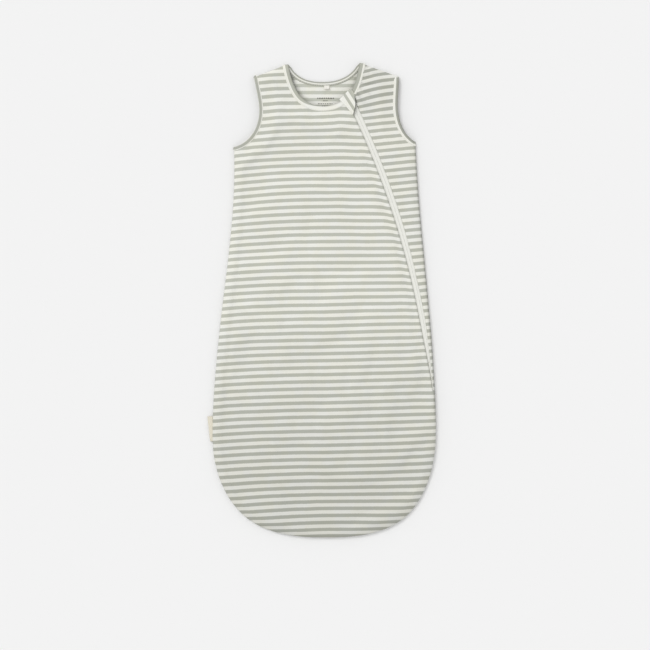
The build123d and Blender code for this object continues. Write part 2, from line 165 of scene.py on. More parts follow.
def bump(t):
    """A hill of height 1 at t = 0 that reaches 0 at t = -1 and 1."""
    return smooth(1 - np.abs(t))


def noise_at(u, v, w):
    return np.array([noise.noise(Vector((a, b, w))) for a, b in zip(u, v)])


def wave(xy, scale, seed):
    """Smooth random field of about -1 to 1; scale gives its wavelength along x and y."""
    shift = 37.7 * seed
    return noise_at(xy[:, 0] / scale[0] + shift, xy[:, 1] / scale[1] - shift, shift)


def wave_over(u, v, scale, seed):
    """The same over two grids of values."""
    return wave(np.stack([u.ravel(), v.ravel()], axis=1), scale, seed).reshape(u.shape)


def around(count):
    """Angles spaced evenly round a circle."""
    return np.linspace(0, 2 * math.pi, count, endpoint=False)


def leftwards(way):
    """Unit vectors on the left of some directions."""
    way = way / np.linalg.norm(way, axis=1)[:, None]
    return np.stack([-way[:, 1], way[:, 0]], axis=1)


def arc_lengths(path):
    return np.concatenate([[0.0], np.cumsum(np.linalg.norm(np.diff(path, axis=0), axis=1))])


def points_at(lengths, path, values=None):
    """Points of a path, or values known at its points, at some distances along it."""
    s = arc_lengths(path)
    values = path if values is None else values
    return np.stack([np.interp(lengths, s, column) for column in values.T], axis=1)


def resample(path, spacing):
    """The same open path with points at an even spacing."""
    length = arc_lengths(path)[-1]
    count = max(2, int(round(length / spacing)) + 1)
    return points_at(np.linspace(0, length, count), path)


def soften(path, rounds):
    """Evens out small steps of an open path; the ends stay."""
    path = path.copy()
    for _ in range(rounds):
        path[1:-1] = (path[:-2] + 2 * path[1:-1] + path[2:]) / 4
    return path


def distance_to(path, xy):
    """Distance of each point from an open path, and where along the path the nearest place is."""
    a, b = path[:-1], path[1:]
    ab = b - a
    starts = arc_lengths(path)[:-1]
    best = np.full(len(xy), 1e9)
    along = np.zeros(len(xy))
    for p, d, s in zip(a, ab, starts):
        length2 = max(d @ d, 1e-12)
        t = np.clip(((xy - p) @ d) / length2, 0, 1)
        gap = np.linalg.norm(xy - (p + t[:, None] * d), axis=1)
        near = gap < best
        best = np.where(near, gap, best)
        along = np.where(near, s + t * math.sqrt(length2), along)
    return best, along


def inside(loop, xy):
    """Which points lie inside a closed outline."""
    x, y = xy[:, 0], xy[:, 1]
    result = np.zeros(len(xy), bool)
    for (x0, y0), (x1, y1) in zip(loop, np.roll(loop, -1, axis=0)):
        if y0 == y1:
            continue
        crosses = (y0 > y) != (y1 > y)
        result ^= crosses & (x < (x1 - x0) * (y - y0) / (y1 - y0) + x0)
    return result


# ---------------- outline curves, read from the frame


def flat_loop(node):
    """Boundary of a CAD node's top face, as an ordered closed outline."""
    points = node_points(node)
    top = points[:, 2].max() - 0.01
    keys = {}
    place = []
    for p in points:
        key = (round(p[0], 3), round(p[1], 3), round(p[2], 2))
        place.append(keys.setdefault(key, len(keys)))
    xy = {i: (k[0], k[1]) for k, i in keys.items()}
    uses = {}
    for polygon in frame["nodes"][node].data.polygons:
        if all(points[v][2] > top for v in polygon.vertices):
            ring = [place[v] for v in polygon.vertices]
            for a, b in zip(ring, ring[1:] + ring[:1]):
                uses[(a, b)] = uses.get((a, b), 0) + 1
    follow = {a: b for (a, b) in uses if (b, a) not in uses}
    start = next(iter(follow))
    loop = [start]
    while follow[loop[-1]] != start:
        loop.append(follow[loop[-1]])
    return np.array([xy[i] for i in loop])


def split_at_corners(loop, count, reach=8.0):
    """Cuts a closed outline into open paths at its sharpest corners."""
    closed = np.vstack([loop, loop[:1]])
    fine = resample(closed, 1.0)[:-1]
    n = len(fine)
    step = int(reach)
    before = fine - np.roll(fine, step, axis=0)
    after = np.roll(fine, -step, axis=0) - fine
    cross = before[:, 0] * after[:, 1] - before[:, 1] * after[:, 0]
    turn = np.abs(np.arctan2(cross, (before * after).sum(1)))
    corners = []
    for i in np.argsort(-turn):
        if all(min(abs(i - c), n - abs(i - c)) > 3 * step for c in corners):
            corners.append(int(i))
        if len(corners) == count:
            break
    corners.sort()
    paths = []
    for a, b in zip(corners, corners[1:] + [corners[0] + n]):
        paths.append(fine[np.arange(a, b + 1) % n])
    return paths


def outline_paths():
    """The six stretches of the outline: round the body, both armholes, both shoulders, the back neck."""
    paths = split_at_corners(flat_loop("back_panel"), 6)
    longest = max(range(6), key=lambda i: len(paths[i]))
    paths = paths[longest:] + paths[:longest]
    if paths[0][0][0] > 0:
        paths = [paths[0][::-1]] + [p[::-1] for p in paths[:0:-1]]
    return paths


# From the left underarm round the hem, up the right armhole, over the neck and down the left armhole.
body_path, armhole_right, shoulder_right, back_neck, shoulder_left, armhole_left = outline_paths()


def polar(xy):
    """Distance from the centre of the zip's arc, and angle."""
    d = np.atleast_2d(xy)[:, :2] - zip_centre
    return np.hypot(d[:, 0], d[:, 1]), np.arctan2(d[:, 1], d[:, 0])


zip_centre = np.array(joint("zip_travel")["pos_m"][:2]) / MM
zip_radius = (polar(node_points("zip_coil_left"))[0].max()
              + polar(node_points("zip_coil_right"))[0].min()) / 2
strip_half = zip_radius - polar(node_points("front_flap_panel"))[0].max()
angle_top = polar(node_points("zip_tape_right"))[1].max()


def zip_offset(xy):
    """Sideways distance from the zip's centre line, positive to the right, and distance down from its top."""
    radius, angle = polar(xy)
    return radius - zip_radius, (angle_top - angle) * zip_radius


def zip_span(node):
    """Where a CAD node starts and ends, as distances down from the top of the zip."""
    down = zip_offset(node_points(node))[1]
    return down.min(), down.max()


open_start, open_length = zip_span("zip_tape_left")
zip_length = zip_span("zip_tape_left_tail")[1]


def zip_xy(offset, down):
    """Points at a sideways offset from the zip's centre line and a distance down from its top."""
    offset, down = np.broadcast_arrays(np.asarray(offset, float), np.asarray(down, float))
    angle = angle_top - down / zip_radius
    radius = zip_radius + offset
    return np.stack([zip_centre[0] + radius * np.cos(angle), zip_centre[1] + radius * np.sin(angle)], axis=-1)


def bezier(a, handle_a, handle_b, b, count=16):
    points = geometry.interpolate_bezier(*[Vector((*p, 0)) for p in (a, handle_a, handle_b, b)], count)
    return np.array([p[:2] for p in points])


def front_neckline():
    """The fold edge of the front neck binding, from the left neck corner to the right one."""
    sides = split_at_corners(flat_loop("neck_binding_front"), 4, reach=4.0)
    longest = sorted(sides, key=lambda p: -len(p))[:2]
    neck_middle = np.array([0.0, back_neck[0][1]])
    fold = min(longest, key=lambda p: np.linalg.norm(p - neck_middle, axis=1).mean())
    fold = fold if fold[0][0] < fold[-1][0] else fold[::-1]
    fold = fold[3:-3]
    right_corner, left_corner = back_neck[0], back_neck[-1]
    left_way = (fold[0] - fold[8]) / np.linalg.norm(fold[0] - fold[8])
    right_way = (fold[-1] - fold[-9]) / np.linalg.norm(fold[-1] - fold[-9])
    reach = 18.0
    left = bezier(left_corner, left_corner + (3.0, -reach), fold[0] + left_way * reach, fold[0])
    right = bezier(fold[-1], fold[-1] + right_way * reach, right_corner + (-3.0, -reach), right_corner)
    return soften(resample(np.vstack([left[:-1], fold, right[1:]]), 2.0), 6)


front_neck = front_neckline()


def from_neck(xy):
    return distance_to(front_neck, xy)[0]


# ---------------- heights of the two layers


def left_normals(path):
    """Unit normals on the left of an open path, which is the fabric side of the outline."""
    return leftwards(np.gradient(path, axis=0))


def trimmed(path, amount, taper=6.0):
    """A path moved into the fabric by an amount that fades out at its ends."""
    s = arc_lengths(path)
    share = np.minimum(1.0, np.minimum(s, s[-1] - s) / taper)
    return path + left_normals(path) * (amount * share)[:, None]


COARSE = 4.0
closed_seams = [resample(p, COARSE) for p in (body_path, shoulder_right, shoulder_left)]
armholes = [resample(p, COARSE) for p in (armhole_right, armhole_left)]
neck_top = zip_xy(0.0, 0.0)


def nearest(paths, xy):
    return np.min([distance_to(p, xy)[0] for p in paths], axis=0)


def zip_share(xy, reach):
    """1 beside the zip, fading to 0 at a distance."""
    offset, down = zip_offset(xy)
    beyond = np.maximum(0, np.maximum(-down, down - zip_length))
    return smooth(1 - (np.maximum(0, np.abs(offset) - strip_half) + beyond) / reach)


def wrinkles(xy):
    """Small folds and slack of the front layer, in millimetres."""
    x, y = xy[:, 0], xy[:, 1]
    offset, down = zip_offset(xy)
    hem, along = distance_to(closed_seams[0], xy)
    lift = 0.75 * wave(xy, (95.0, 150.0), 1)
    lift += 0.35 * wave(xy, (34.0, 70.0), 2)
    # Slack beside the zip, in short waves across it.
    ripple = noise_at(down / 15.0, offset / 60.0, 4.2)
    lift += 0.75 * ripple * smooth(1 - (np.abs(offset) - strip_half) / 34.0)
    # Gathers that run in from the side and hem seams.
    gather = noise_at(along / 8.5, hem / 40.0, 8.1)
    lift += 0.55 * gather * smooth(hem / 3.0) * smooth(1 - hem / 30.0)
    # A small pucker at the middle of the hem.
    lift -= 1.1 * bump((x - 31.0) / 4.5) * smooth(1 - hem / 18.0) * smooth(hem / 3.0) * (y < -300)
    return lift


def drag_lines(xy, neck):
    """Creases that fan out from the right side of the neck, given each point's distance from it."""
    x, y = xy[:, 0], xy[:, 1]
    turn = np.arctan2(y - 322.0, x - 36.0)
    fans = np.sin(turn * 15.0 + 1.1 * wave(xy, (22.0, 22.0), 5)) + 0.5 * wave(xy, (7.0, 12.0), 6)
    right = smooth((zip_offset(xy)[0] - strip_half) / 6.0) * smooth((y - 225.0) / 40.0)
    return fans * smooth((neck - 3.0) / 6.0) * smooth(1 - neck / 48.0) * right


def front_height(xy, with_wrinkles=True):
    """Height of the outer face of the front layer."""
    xy = np.atleast_2d(xy)
    seam = nearest(closed_seams, xy)
    arm = nearest(armholes, xy)
    neck = from_neck(xy)
    from_zip = np.linalg.norm(xy - neck_top, axis=1)
    neck_edge = NECK_HEIGHT + (ZIP_EDGE_HEIGHT - NECK_HEIGHT) * smooth(1 - from_zip / 60.0)
    belly = BELLY * smooth(seam / 90.0) * smooth((xy[:, 1] + 330) / 200) * smooth((260 - xy[:, 1]) / 150)
    top = LOFT + belly
    if with_wrinkles:
        top = top + wrinkles(xy)
    top = top + (ARM_HEIGHT - top) * smooth(1 - arm / ARM_BLEND)
    top = top + (neck_edge - top) * smooth(1 - neck / NECK_BLEND)
    top = top + (LOFT - 0.2 - top) * 0.8 * zip_share(xy, ZIP_BLEND) * smooth(neck / 12.0)
    if with_wrinkles:
        top = top + drag_lines(xy, neck)
    # The cloth curves down over less width where the lower end of the zip lies close to the side seam.
    offset, down = zip_offset(xy)
    roll = ROLL_WIDTH - 7.0 * smooth(1.4 - np.abs(offset) / 14.0) * smooth((down - 280.0) / 90.0)
    round_off = np.sqrt(1 - (1 - np.clip(seam / roll, 0, 1)) ** 2)
    low = SEAM_HEIGHT + FABRIC / 2
    return low + (top - low) * round_off


def back_height(xy):
    """Height of the outer (lower) face of the back layer."""
    xy = np.atleast_2d(xy)
    seam = nearest(closed_seams, xy)
    round_off = np.sqrt(1 - (1 - np.clip(seam / BACK_ROLL_WIDTH, 0, 1)) ** 2)
    slack = 0.3 * (0.5 + 0.5 * wave(xy, (60.0, 90.0), 11))
    return SEAM_HEIGHT - FABRIC / 2 - (SEAM_HEIGHT - FABRIC / 2 - BACK_HEIGHT - slack) * round_off


# ---------------- fabric sheets


def strip_edge(side, down):
    """Half width of the strip between the panels; it narrows where the zip runs into the side seam."""
    if side < 0:
        return strip_half * (1 - 0.97 * smooth((down - 352.0) / 124.0))
    half = strip_half * (1 - 0.35 * smooth((down - 180.0) / 160.0))
    return half * (1 - 0.97 * smooth((down - 330.0) / 120.0))


def zip_line(side, spacing=3.0):
    """One edge of that strip, a little longer than the zip at both ends."""
    start, end = -14.0, zip_length + 12.0
    down = np.linspace(start, end, int((end - start) / spacing))
    return zip_xy(side * strip_edge(side, down), down)


def from_strip(xy):
    """Distance of each point from the near edge of the strip that shows, below zero inside it."""
    offset, down = zip_offset(xy)
    half = np.where(offset < 0, strip_edge(-1, down), strip_edge(1, down))
    return np.abs(offset) - half


def sheet(paths, lines=(), rows=(0.6, 1.5, 3.0, 5.2, 8.0), spacing=GRID, edge_spacing=2.6):
    """Flat triangle mesh inside a closed outline, finer beside its edges and beside the given lines."""
    loop = np.vstack([resample(p, edge_spacing)[:-1] for p in paths])
    ring = np.vstack([loop, loop[:1]])
    normal = leftwards(np.roll(loop, -1, axis=0) - np.roll(loop, 1, axis=0))
    points = [loop]
    edges = [(i, (i + 1) % len(loop)) for i in range(len(loop))]
    count = len(loop)
    beside = []
    for line in lines:
        points.append(line)
        edges += [(count + i, count + i + 1) for i in range(len(line) - 1)]
        count += len(line)
        for side in (-1, 1):
            for row in rows[:4]:
                beside.append(line + left_normals(line) * side * row)

    def clear(candidates, from_ring, from_lines):
        candidates = candidates[inside(loop, candidates)]
        candidates = candidates[distance_to(ring, candidates)[0] > from_ring]
        for line in lines:
            candidates = candidates[distance_to(line, candidates)[0] > from_lines]
        return candidates

    for row in rows:
        points.append(clear(loop + normal * row, row * 0.93, 0.5))
    if beside:
        points.append(clear(np.vstack(beside), 1.0, 0.5))
    low, high = loop.min(axis=0), loop.max(axis=0)
    step_y = spacing * math.sqrt(3) / 2
    grid = [(low[0] + spacing * (i + 0.5 * (j % 2)), low[1] + step_y * j)
            for j in range(int((high[1] - low[1]) / step_y) + 1)
            for i in range(int((high[0] - low[0]) / spacing) + 1)]
    points.append(clear(np.array(grid), rows[-1] + 0.6 * spacing, max(rows[:4]) + 0.4 * spacing))
    flat = np.vstack(points)
    result = geometry.delaunay_2d_cdt([Vector(p) for p in flat], edges, [], 0, 1e-5)
    xy = np.array([tuple(v) for v in result[0]])
    triangles = np.array([f for f in result[2] if len(f) == 3])
    triangles = triangles[inside(loop, xy[triangles].mean(axis=1))]
    a, b, c = xy[triangles[:, 0]], xy[triangles[:, 1]], xy[triangles[:, 2]]
    area = (b[:, 0] - a[:, 0]) * (c[:, 1] - a[:, 1]) - (b[:, 1] - a[:, 1]) * (c[:, 0] - a[:, 0])
    triangles[area < 0] = triangles[area < 0][:, ::-1]
    return xy, triangles[np.abs(area) > 1e-4]


def relaxed(xy, triangles, height, pinned, frames):
    """Lets a sheet of cloth settle in a simulation; returns how far each point moved, in millimetres."""
    mesh = bpy.data.meshes.new("settling_cloth")
    mesh.from_pydata((lift_onto(xy, height) * MM).tolist(), [], triangles.tolist())
    obj = placed("settling_cloth", mesh)
    group = obj.vertex_groups.new(name="pinned")
    group.add(np.flatnonzero(pinned).tolist(), 1.0, "REPLACE")
    cloth = obj.modifiers.new("cloth", "CLOTH")
    for key, value in CLOTH_SETTINGS.items():
        setattr(cloth.settings, key, value)
    cloth.settings.vertex_group_mass = group.name
    cloth.settings.effector_weights.gravity = 0.0
    cloth.collision_settings.use_collision = False
    cloth.point_cache.frame_start = 1
    cloth.point_cache.frame_end = frames
    for step in range(1, frames + 1):
        bpy.context.scene.frame_set(step)
    settled = mesh_points(obj.evaluated_get(bpy.context.evaluated_depsgraph_get()).data)
    bpy.data.objects.remove(obj)
    bpy.data.meshes.remove(mesh)
    bpy.context.scene.frame_set(1)
    return settled - lift_onto(xy, height)


def carried_over(xy, triangles, values, wanted):
    """Values known at the points of a flat sheet, read off at other places on it."""
    tree = BVHTree.FromPolygons([(x, y, 0.0) for x, y in xy], triangles.tolist())
    result = np.zeros((len(wanted), values.shape[1]))
    for row, (x, y) in enumerate(wanted):
        place, _, face, _ = tree.find_nearest((x, y, 0.0))
        corners = triangles[face]
        a, b, c = (np.array([*xy[i], 1.0]) for i in corners)
        share = np.linalg.solve(np.stack([a, b, c], axis=1), [place[0], place[1], 1.0])
        result[row] = share @ values[corners]
    return result


def part_of(xy, triangles, wanted):
    """The triangles of a sheet that are wanted, with only the points they use."""
    kept = triangles[wanted]
    used = np.unique(kept)
    renumber = np.full(len(xy), -1)
    renumber[used] = np.arange(len(used))
    return xy[used], renumber[kept]


# ---------------- objects


def make_object(name, points, faces, material, slot, **attributes):
    """A smooth mesh object from points in millimetres; attributes are per-point values for the material."""
    mesh = bpy.data.meshes.new(name)
    mesh.from_pydata((np.asarray(points) * MM).tolist(), [], [tuple(int(i) for i in f) for f in faces])
    mesh.polygons.foreach_set("use_smooth", [True] * len(mesh.polygons))
    attributes.setdefault("rest", np.asarray(points))
    for key, values in attributes.items():
        values = np.asarray(values, np.float32)
        kind, field = ("FLOAT_VECTOR", "vector") if values.ndim == 2 else ("FLOAT", "value")
        if values.ndim == 0:
            values = np.full(len(mesh.vertices), values)
        mesh.attributes.new(key, kind, "POINT").data.foreach_set(field, values.ravel())
    mesh.materials.append(material)
    obj = placed(name, mesh)
    return obj


def thicken(obj, thickness, offset):
    """Gives a single sheet its cloth thickness, and keeps the result as mesh."""
    modifier = obj.modifiers.new("thickness", "SOLIDIFY")
    modifier.thickness = thickness * MM
    modifier.offset = offset
    modifier.use_rim = True
    bake(obj)


def bake(obj):
    """Applies an object's modifiers."""
    bpy.context.view_layer.update()
    done = bpy.data.meshes.new_from_object(obj.evaluated_get(bpy.context.evaluated_depsgraph_get()))
    obj.modifiers.clear()
    obj.data = done


def tube_faces(n, m):
    """Faces of n rings of m points, closed at both ends."""
    faces = [(i * m + j, i * m + (j + 1) % m, (i + 1) * m + (j + 1) % m, (i + 1) * m + j)
             for i in range(n - 1) for j in range(m)]
    return faces + [tuple(range(m))[::-1], tuple(range((n - 1) * m, n * m))]


def sweep(path, normals, ups, profile):
    """Points and faces of a closed profile carried along a path; profile[i][j] = (along normal, up)."""
    points = path[:, None, :] + profile[..., :1] * normals[:, None, :] + profile[..., 1:] * ups[:, None, :]
    return points.reshape(-1, 3), tube_faces(*profile.shape[:2])


def tube(path, radius, sides=6, taper=False):
    """A round thread along a path of 3-D points."""
    way = np.gradient(path, axis=0)
    way /= np.maximum(np.linalg.norm(way, axis=1), 1e-9)[:, None]
    side = np.cross(way, [0.0, 0.0, 1.0])
    flat = np.linalg.norm(side, axis=1) < 1e-3
    side[flat] = (1.0, 0.0, 0.0)
    side /= np.linalg.norm(side, axis=1)[:, None]
    up = np.cross(side, way)
    turn = around(sides)
    size = np.full(len(path), radius)
    if taper:
        size[0] = size[-1] = radius * 0.35
    profile = np.stack([np.cos(turn), np.sin(turn)], axis=1)[None] * size[:, None, None]
    return sweep(path, side, up, profile)


def joined(parts):
    """One set of points and faces from several."""
    points, faces, count = [], [], 0
    for p, f in parts:
        points.append(p)
        faces += [tuple(i + count for i in face) for face in f]
        count += len(p)
    return np.vstack(points), faces


def lift_onto(xy, height):
    return np.column_stack([xy, height])


def stays(obj, *nodes):
    """A piece that stays with the bag, in place of the CAD nodes named."""
    if nodes:
        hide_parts(*nodes)
    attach(obj, "bag")


# ---------------- materials


def linear(*srgb):
    return tuple((c / 255 / 12.92 if c <= 10 else ((c / 255 + 0.055) / 1.055) ** 2.4) for c in srgb)


class Shader:
    """A small builder for one procedural material."""

    def __init__(self, name, roughness=0.9, specular=0.25, sheen=0.0, metallic=0.0):
        self.material = bpy.data.materials.new(name)
        self.material.use_nodes = True
        self.tree = self.material.node_tree
        self.tree.nodes.clear()
        self.surface = self.node("BsdfPrincipled")
        self.node("OutputMaterial", self.surface.outputs["BSDF"])
        for key, value in (("Roughness", roughness), ("Specular IOR Level", specular),
                           ("Sheen Weight", sheen), ("Sheen Roughness", 0.5), ("Metallic", metallic)):
            self.put(self.surface.inputs[key], value)

    def put(self, socket, value):
        if isinstance(value, bpy.types.NodeSocket):
            self.tree.links.new(value, socket)
        elif isinstance(value, tuple) and socket.type == "RGBA":
            socket.default_value = (*value[:3], 1.0)
        else:
            socket.default_value = value

    def node(self, kind, *values, **settings):
        """Adds a node with these settings, and these values on its first inputs."""
        node = self.tree.nodes.new("ShaderNode" + kind)
        for key, setting in settings.items():
            setattr(node, key, setting)
        for socket, value in zip(node.inputs, values):
            self.put(socket, value)
        return node

    def math(self, operation, a, b=0.0, c=0.0):
        return self.node("Math", a, b, c, operation=operation).outputs[0]

    def value(self, name, output="Fac"):
        """A per-point value of the mesh."""
        return self.node("Attribute", attribute_name=name).outputs[output]

    def place(self):
        """Object coordinates in millimetres, for CAD nodes, which have no stored rest points."""
        return self.scaled(self.node("TexCoord").outputs["Object"], 1 / MM)

    def split(self, vector):
        return self.node("SeparateXYZ", vector).outputs

    def noise(self, vector, size, detail=2.0):
        """Noise from 0 to 1 whose features are about size millimetres across."""
        node = self.node("TexNoise", vector)
        node.inputs["Scale"].default_value = 1 / size
        node.inputs["Detail"].default_value = detail
        return node.outputs["Fac"]

    def varied(self, vector, size, amount, middle=1.0, detail=2.0):
        """A value that varies by an amount about its middle, in features of a size."""
        return self.math("MULTIPLY_ADD", self.noise(vector, size, detail), amount, middle - amount / 2)

    def ramp(self, value, low, high, to_low=0.0, to_high=1.0):
        node = self.node("MapRange", value, low, high, to_low, to_high, interpolation_type="SMOOTHSTEP")
        return node.outputs["Result"]

    def mix(self, factor, a, b, blend="MIX"):
        node = self.node("Mix", factor, data_type="RGBA", blend_type=blend)
        self.put(node.inputs[6], a)
        self.put(node.inputs[7], b)
        return node.outputs[2]

    def scaled(self, colour, factor):
        node = self.node("VectorMath", colour, operation="SCALE")
        self.put(node.inputs["Scale"], factor)
        return node.outputs[0]

    def wave(self, value, period):
        """Cosine of a length in millimetres, from -1 to 1."""
        return self.math("COSINE", self.math("MULTIPLY_ADD", value, 2 * math.pi / period))

    def bump(self, height, strength, distance):
        node = self.node("Bump")
        node.inputs["Strength"].default_value = strength
        node.inputs["Distance"].default_value = distance * MM
        self.put(node.inputs["Height"], height)
        self.put(self.surface.inputs["Normal"], node.outputs["Normal"])

    def colour(self, value):
        self.put(self.surface.inputs["Base Color"], value)


SAGE = linear(190, 192, 182)
CREAM = linear(239, 239, 233)
WARM_TINT = (1.0, 0.992, 0.955)
KNIT_WALE = 1.3               # width of one column of knit stitches
KNIT_COURSE = 1.05            # height of one row of knit stitches


def knit(shader, across, along):
    """Columns of small V-shaped stitches."""
    wale = shader.wave(across, KNIT_WALE)
    lean = shader.math("MULTIPLY_ADD", shader.wave(across, KNIT_WALE), 0.35 * KNIT_COURSE, along)
    course = shader.wave(lean, KNIT_COURSE)
    return shader.math("ADD", wale, shader.math("MULTIPLY", course, 0.6))


def jersey_material(name, tone_source):
    """Brushed jersey, sage where the tone is above zero and off-white elsewhere."""
    s = Shader(name, roughness=0.92, specular=0.18, sheen=0.12)
    rest = s.value("rest", "Vector")
    x, y, _ = s.split(rest)
    fuzz = s.varied(rest, 1.3, 0.5, 0.0, detail=3.0)
    if tone_source == "stripe":
        row = s.math("ADD", s.value("stripe"), s.varied(rest, 26.0, 0.05, 0.0))
        tone = s.math("ADD", s.math("COSINE", s.math("MULTIPLY", row, 2 * math.pi)), fuzz)
        green = s.ramp(tone, -0.3, 0.3)
    else:
        tone = s.math("ADD", s.value("tone"), fuzz)
        green = s.ramp(tone, -0.45, 0.45)
    fleck = s.varied(rest, 0.8, 0.16)
    cloud = s.varied(rest, 45.0, 0.05)
    sage = s.scaled(SAGE, s.math("MULTIPLY", fleck, s.value("depth")))
    cream = s.scaled(CREAM, s.varied(rest, 1.1, 0.05))
    base = s.mix(green, cream, sage)
    base = s.mix(s.ramp(s.noise(rest, 17.0, 3.0), 0.35, 0.65), base, s.mix(1.0, base, WARM_TINT, "MULTIPLY"))
    s.colour(s.scaled(base, s.math("MULTIPLY", cloud, s.value("shade"))))
    s.bump(knit(s, x, y), 0.22, 0.25)
    return s.material


def thread_material(name, srgb, twist=1.4):
    s = Shader(name, roughness=0.7, specular=0.3, sheen=0.1)
    rest = s.value("rest", "Vector")
    s.colour(s.scaled(linear(*srgb), s.varied(rest, 3.0, 0.12)))
    x, y, z = s.split(rest)
    strand = s.wave(s.math("ADD", x, s.math("ADD", y, z)), twist)
    s.bump(strand, 0.3, 0.12)
    return s.material


def weave_material(name, srgb, pitch, strength=0.25, sheen=0.05, roughness=0.75):
    """Plain weave: two crossing sets of yarns."""
    s = Shader(name, roughness=roughness, sheen=sheen)
    rest = s.value("rest", "Vector")
    x, y, _ = s.split(rest)
    cross = s.math("MULTIPLY", s.wave(x, pitch), s.wave(y, pitch))
    tint = s.varied(rest, 9.0, 0.06, detail=3.0)
    yarn = s.math("MULTIPLY_ADD", cross, 0.02, 1.0)
    s.colour(s.scaled(linear(*srgb), s.math("MULTIPLY", tint, yarn)))
    s.bump(cross, strength, 0.2)
    return s.material


def plastic_material(name, srgb, roughness=0.45):
    s = Shader(name, roughness=roughness, specular=0.4)
    place = s.place()
    s.colour(s.scaled(linear(*srgb), s.varied(place, 4.0, 0.08, detail=3.0)))
    dull = s.ramp(s.noise(place, 1.5), 0.3, 0.7, roughness - 0.07, roughness + 0.1)
    s.put(s.surface.inputs["Roughness"], dull)
    s.bump(s.noise(place, 0.5, 3.0), 0.15, 0.05)
    return s.material


def metal_material(name, srgb, roughness, paint=0.0, brush=0.3):
    """Brushed or painted metal, a little worn at the rims."""
    s = Shader(name, roughness=roughness, specular=0.5, metallic=1.0 - paint)
    place = s.place()
    x, y, z = s.split(place)
    streak = s.node("CombineXYZ", s.math("MULTIPLY", x, 6.0), s.math("MULTIPLY", y, 0.6), z)
    grain = s.noise(streak.outputs[0], 1.0, 4.0)
    wear = s.ramp(s.node("NewGeometry").outputs["Pointiness"], 0.52, 0.6)
    tint = s.math("MULTIPLY_ADD", grain, 0.15, 0.92)
    base = s.scaled(linear(*srgb), tint)
    s.colour(s.mix(s.math("MULTIPLY", wear, 0.5), base, linear(190, 186, 178)))
    s.put(s.surface.inputs["Roughness"], s.ramp(grain, 0.2, 0.8, roughness - 0.06, roughness + 0.1))
    s.bump(grain, brush, 0.03)
    return s.material


striped = jersey_material("striped_jersey", "stripe")
banded = jersey_material("folded_jersey", "tone")
thread = thread_material("seam_thread", (232, 230, 222))
tape_cloth = weave_material("zip_tape_weave", (236, 236, 229), pitch=0.9)
coil_nylon = thread_material("zip_coil_nylon", (228, 227, 220), twist=0.9)
stop_plastic = plastic_material("zip_stop_plastic", (224, 222, 214))
enamel = metal_material("slider_enamel", (92, 82, 68), 0.38, paint=0.9, brush=0.15)
steel = metal_material("spring_steel", (196, 196, 192), 0.3)
label_cloth = weave_material("label_weave", (236, 234, 226), pitch=0.5, sheen=0.2, roughness=0.55)
tag_cloth = weave_material("tag_weave", (229, 223, 206), pitch=0.7, strength=0.4)
print_ink = thread_material("print_ink", (122, 121, 114))

# ---------------- stripe pattern


def front_stripe(xy):
    """Stripe number on the main front panel; a whole number is the middle of a sage stripe."""
    x, y = xy[:, 0], xy[:, 1]
    left = np.clip((PATTERN_MIDDLE - x) / 125.0, 0, None)
    drop = LEFT_DROP * left ** 2 * (1 - 0.3 * smooth((140 - y) / 110) * smooth((y + 320) / 90))
    slope = RIGHT_SLOPE * smooth((126 - y) / 193) * smooth((y + 326) / 92)
    drop = drop - slope * np.clip(x - PATTERN_MIDDLE, 0, None)
    # Below the waist and at the hem the stripes lie higher.
    drop = drop - 1.25 * smooth((-35 - y) / 90) - 1.3 * smooth((-270 - y) / 55) * smooth((x + 60) / 80)
    # Round the neck they sag at the left of the middle and rise towards the zip and the left shoulder.
    drop = drop + 0.7 * bump((x + 22) / 40) * smooth((y - 235) / 30) - 1.8 * smooth((y - 275) / 40)
    drop = drop - 1.1 * smooth((x - 8) / 18) * smooth((y - 225) / 35)
    drop = drop - 0.6 * bump((x - 22) / 30) * smooth((y - 90) / 60)
    # Beside the zip they are dragged down.
    offset, down = zip_offset(xy)
    gap = np.abs(offset) - strip_half
    drop = drop + 0.7 * smooth(1 - gap / 26.0) * np.sin(down / 23.0)
    drop = drop + 1.9 * smooth(1 - gap / 13.0) * smooth((down - 60) / 50) * smooth((330 - down) / 60)
    row = (FIRST_STRIPE - y - drop) / STRIPE_PITCH
    part = np.clip(row / STRIPE_ROWS, 0, 1)
    return row + STRIPE_SAG * 4 * part * (1 - part)


def side_stripe(xy):
    """The same on the side panel, whose stripes rise to the right and are dragged down beside the neck."""
    x, y = xy[:, 0], xy[:, 1]
    near_neck = np.clip((SIDE_PATTERN_MIDDLE - x) / 57.0, 0, 1.2)
    drop = -0.1 * (x - SIDE_PATTERN_MIDDLE) + SHOULDER_DRAG * near_neck ** 2 * smooth((y - 262) / 36)
    drop = drop + 0.6 - 3.2 * smooth((y - 262) / 55)
    drop = drop + 1.3 * wave(xy, (11.0, 16.0), 51) * smooth(1 - from_neck(xy) / 34.0)
    return (SIDE_FIRST_STRIPE - y - drop) / SIDE_STRIPE_PITCH


def back_stripe(xy):
    return (BACK_FIRST_STRIPE - xy[:, 1]) / STRIPE_PITCH


def hem_shade(xy):
    """The cloth looks a little darker towards the hem."""
    return 0.985 - 0.17 * np.clip((20 - xy[:, 1]) / 370, 0, 1)


def hem_depth(xy):
    """The sage stripes darken a little more than the cloth between them."""
    return 1.01 - 0.1 * np.clip((-40 - xy[:, 1]) / 310, 0, 1) - 0.03 * smooth((xy[:, 1] - 265) / 40)


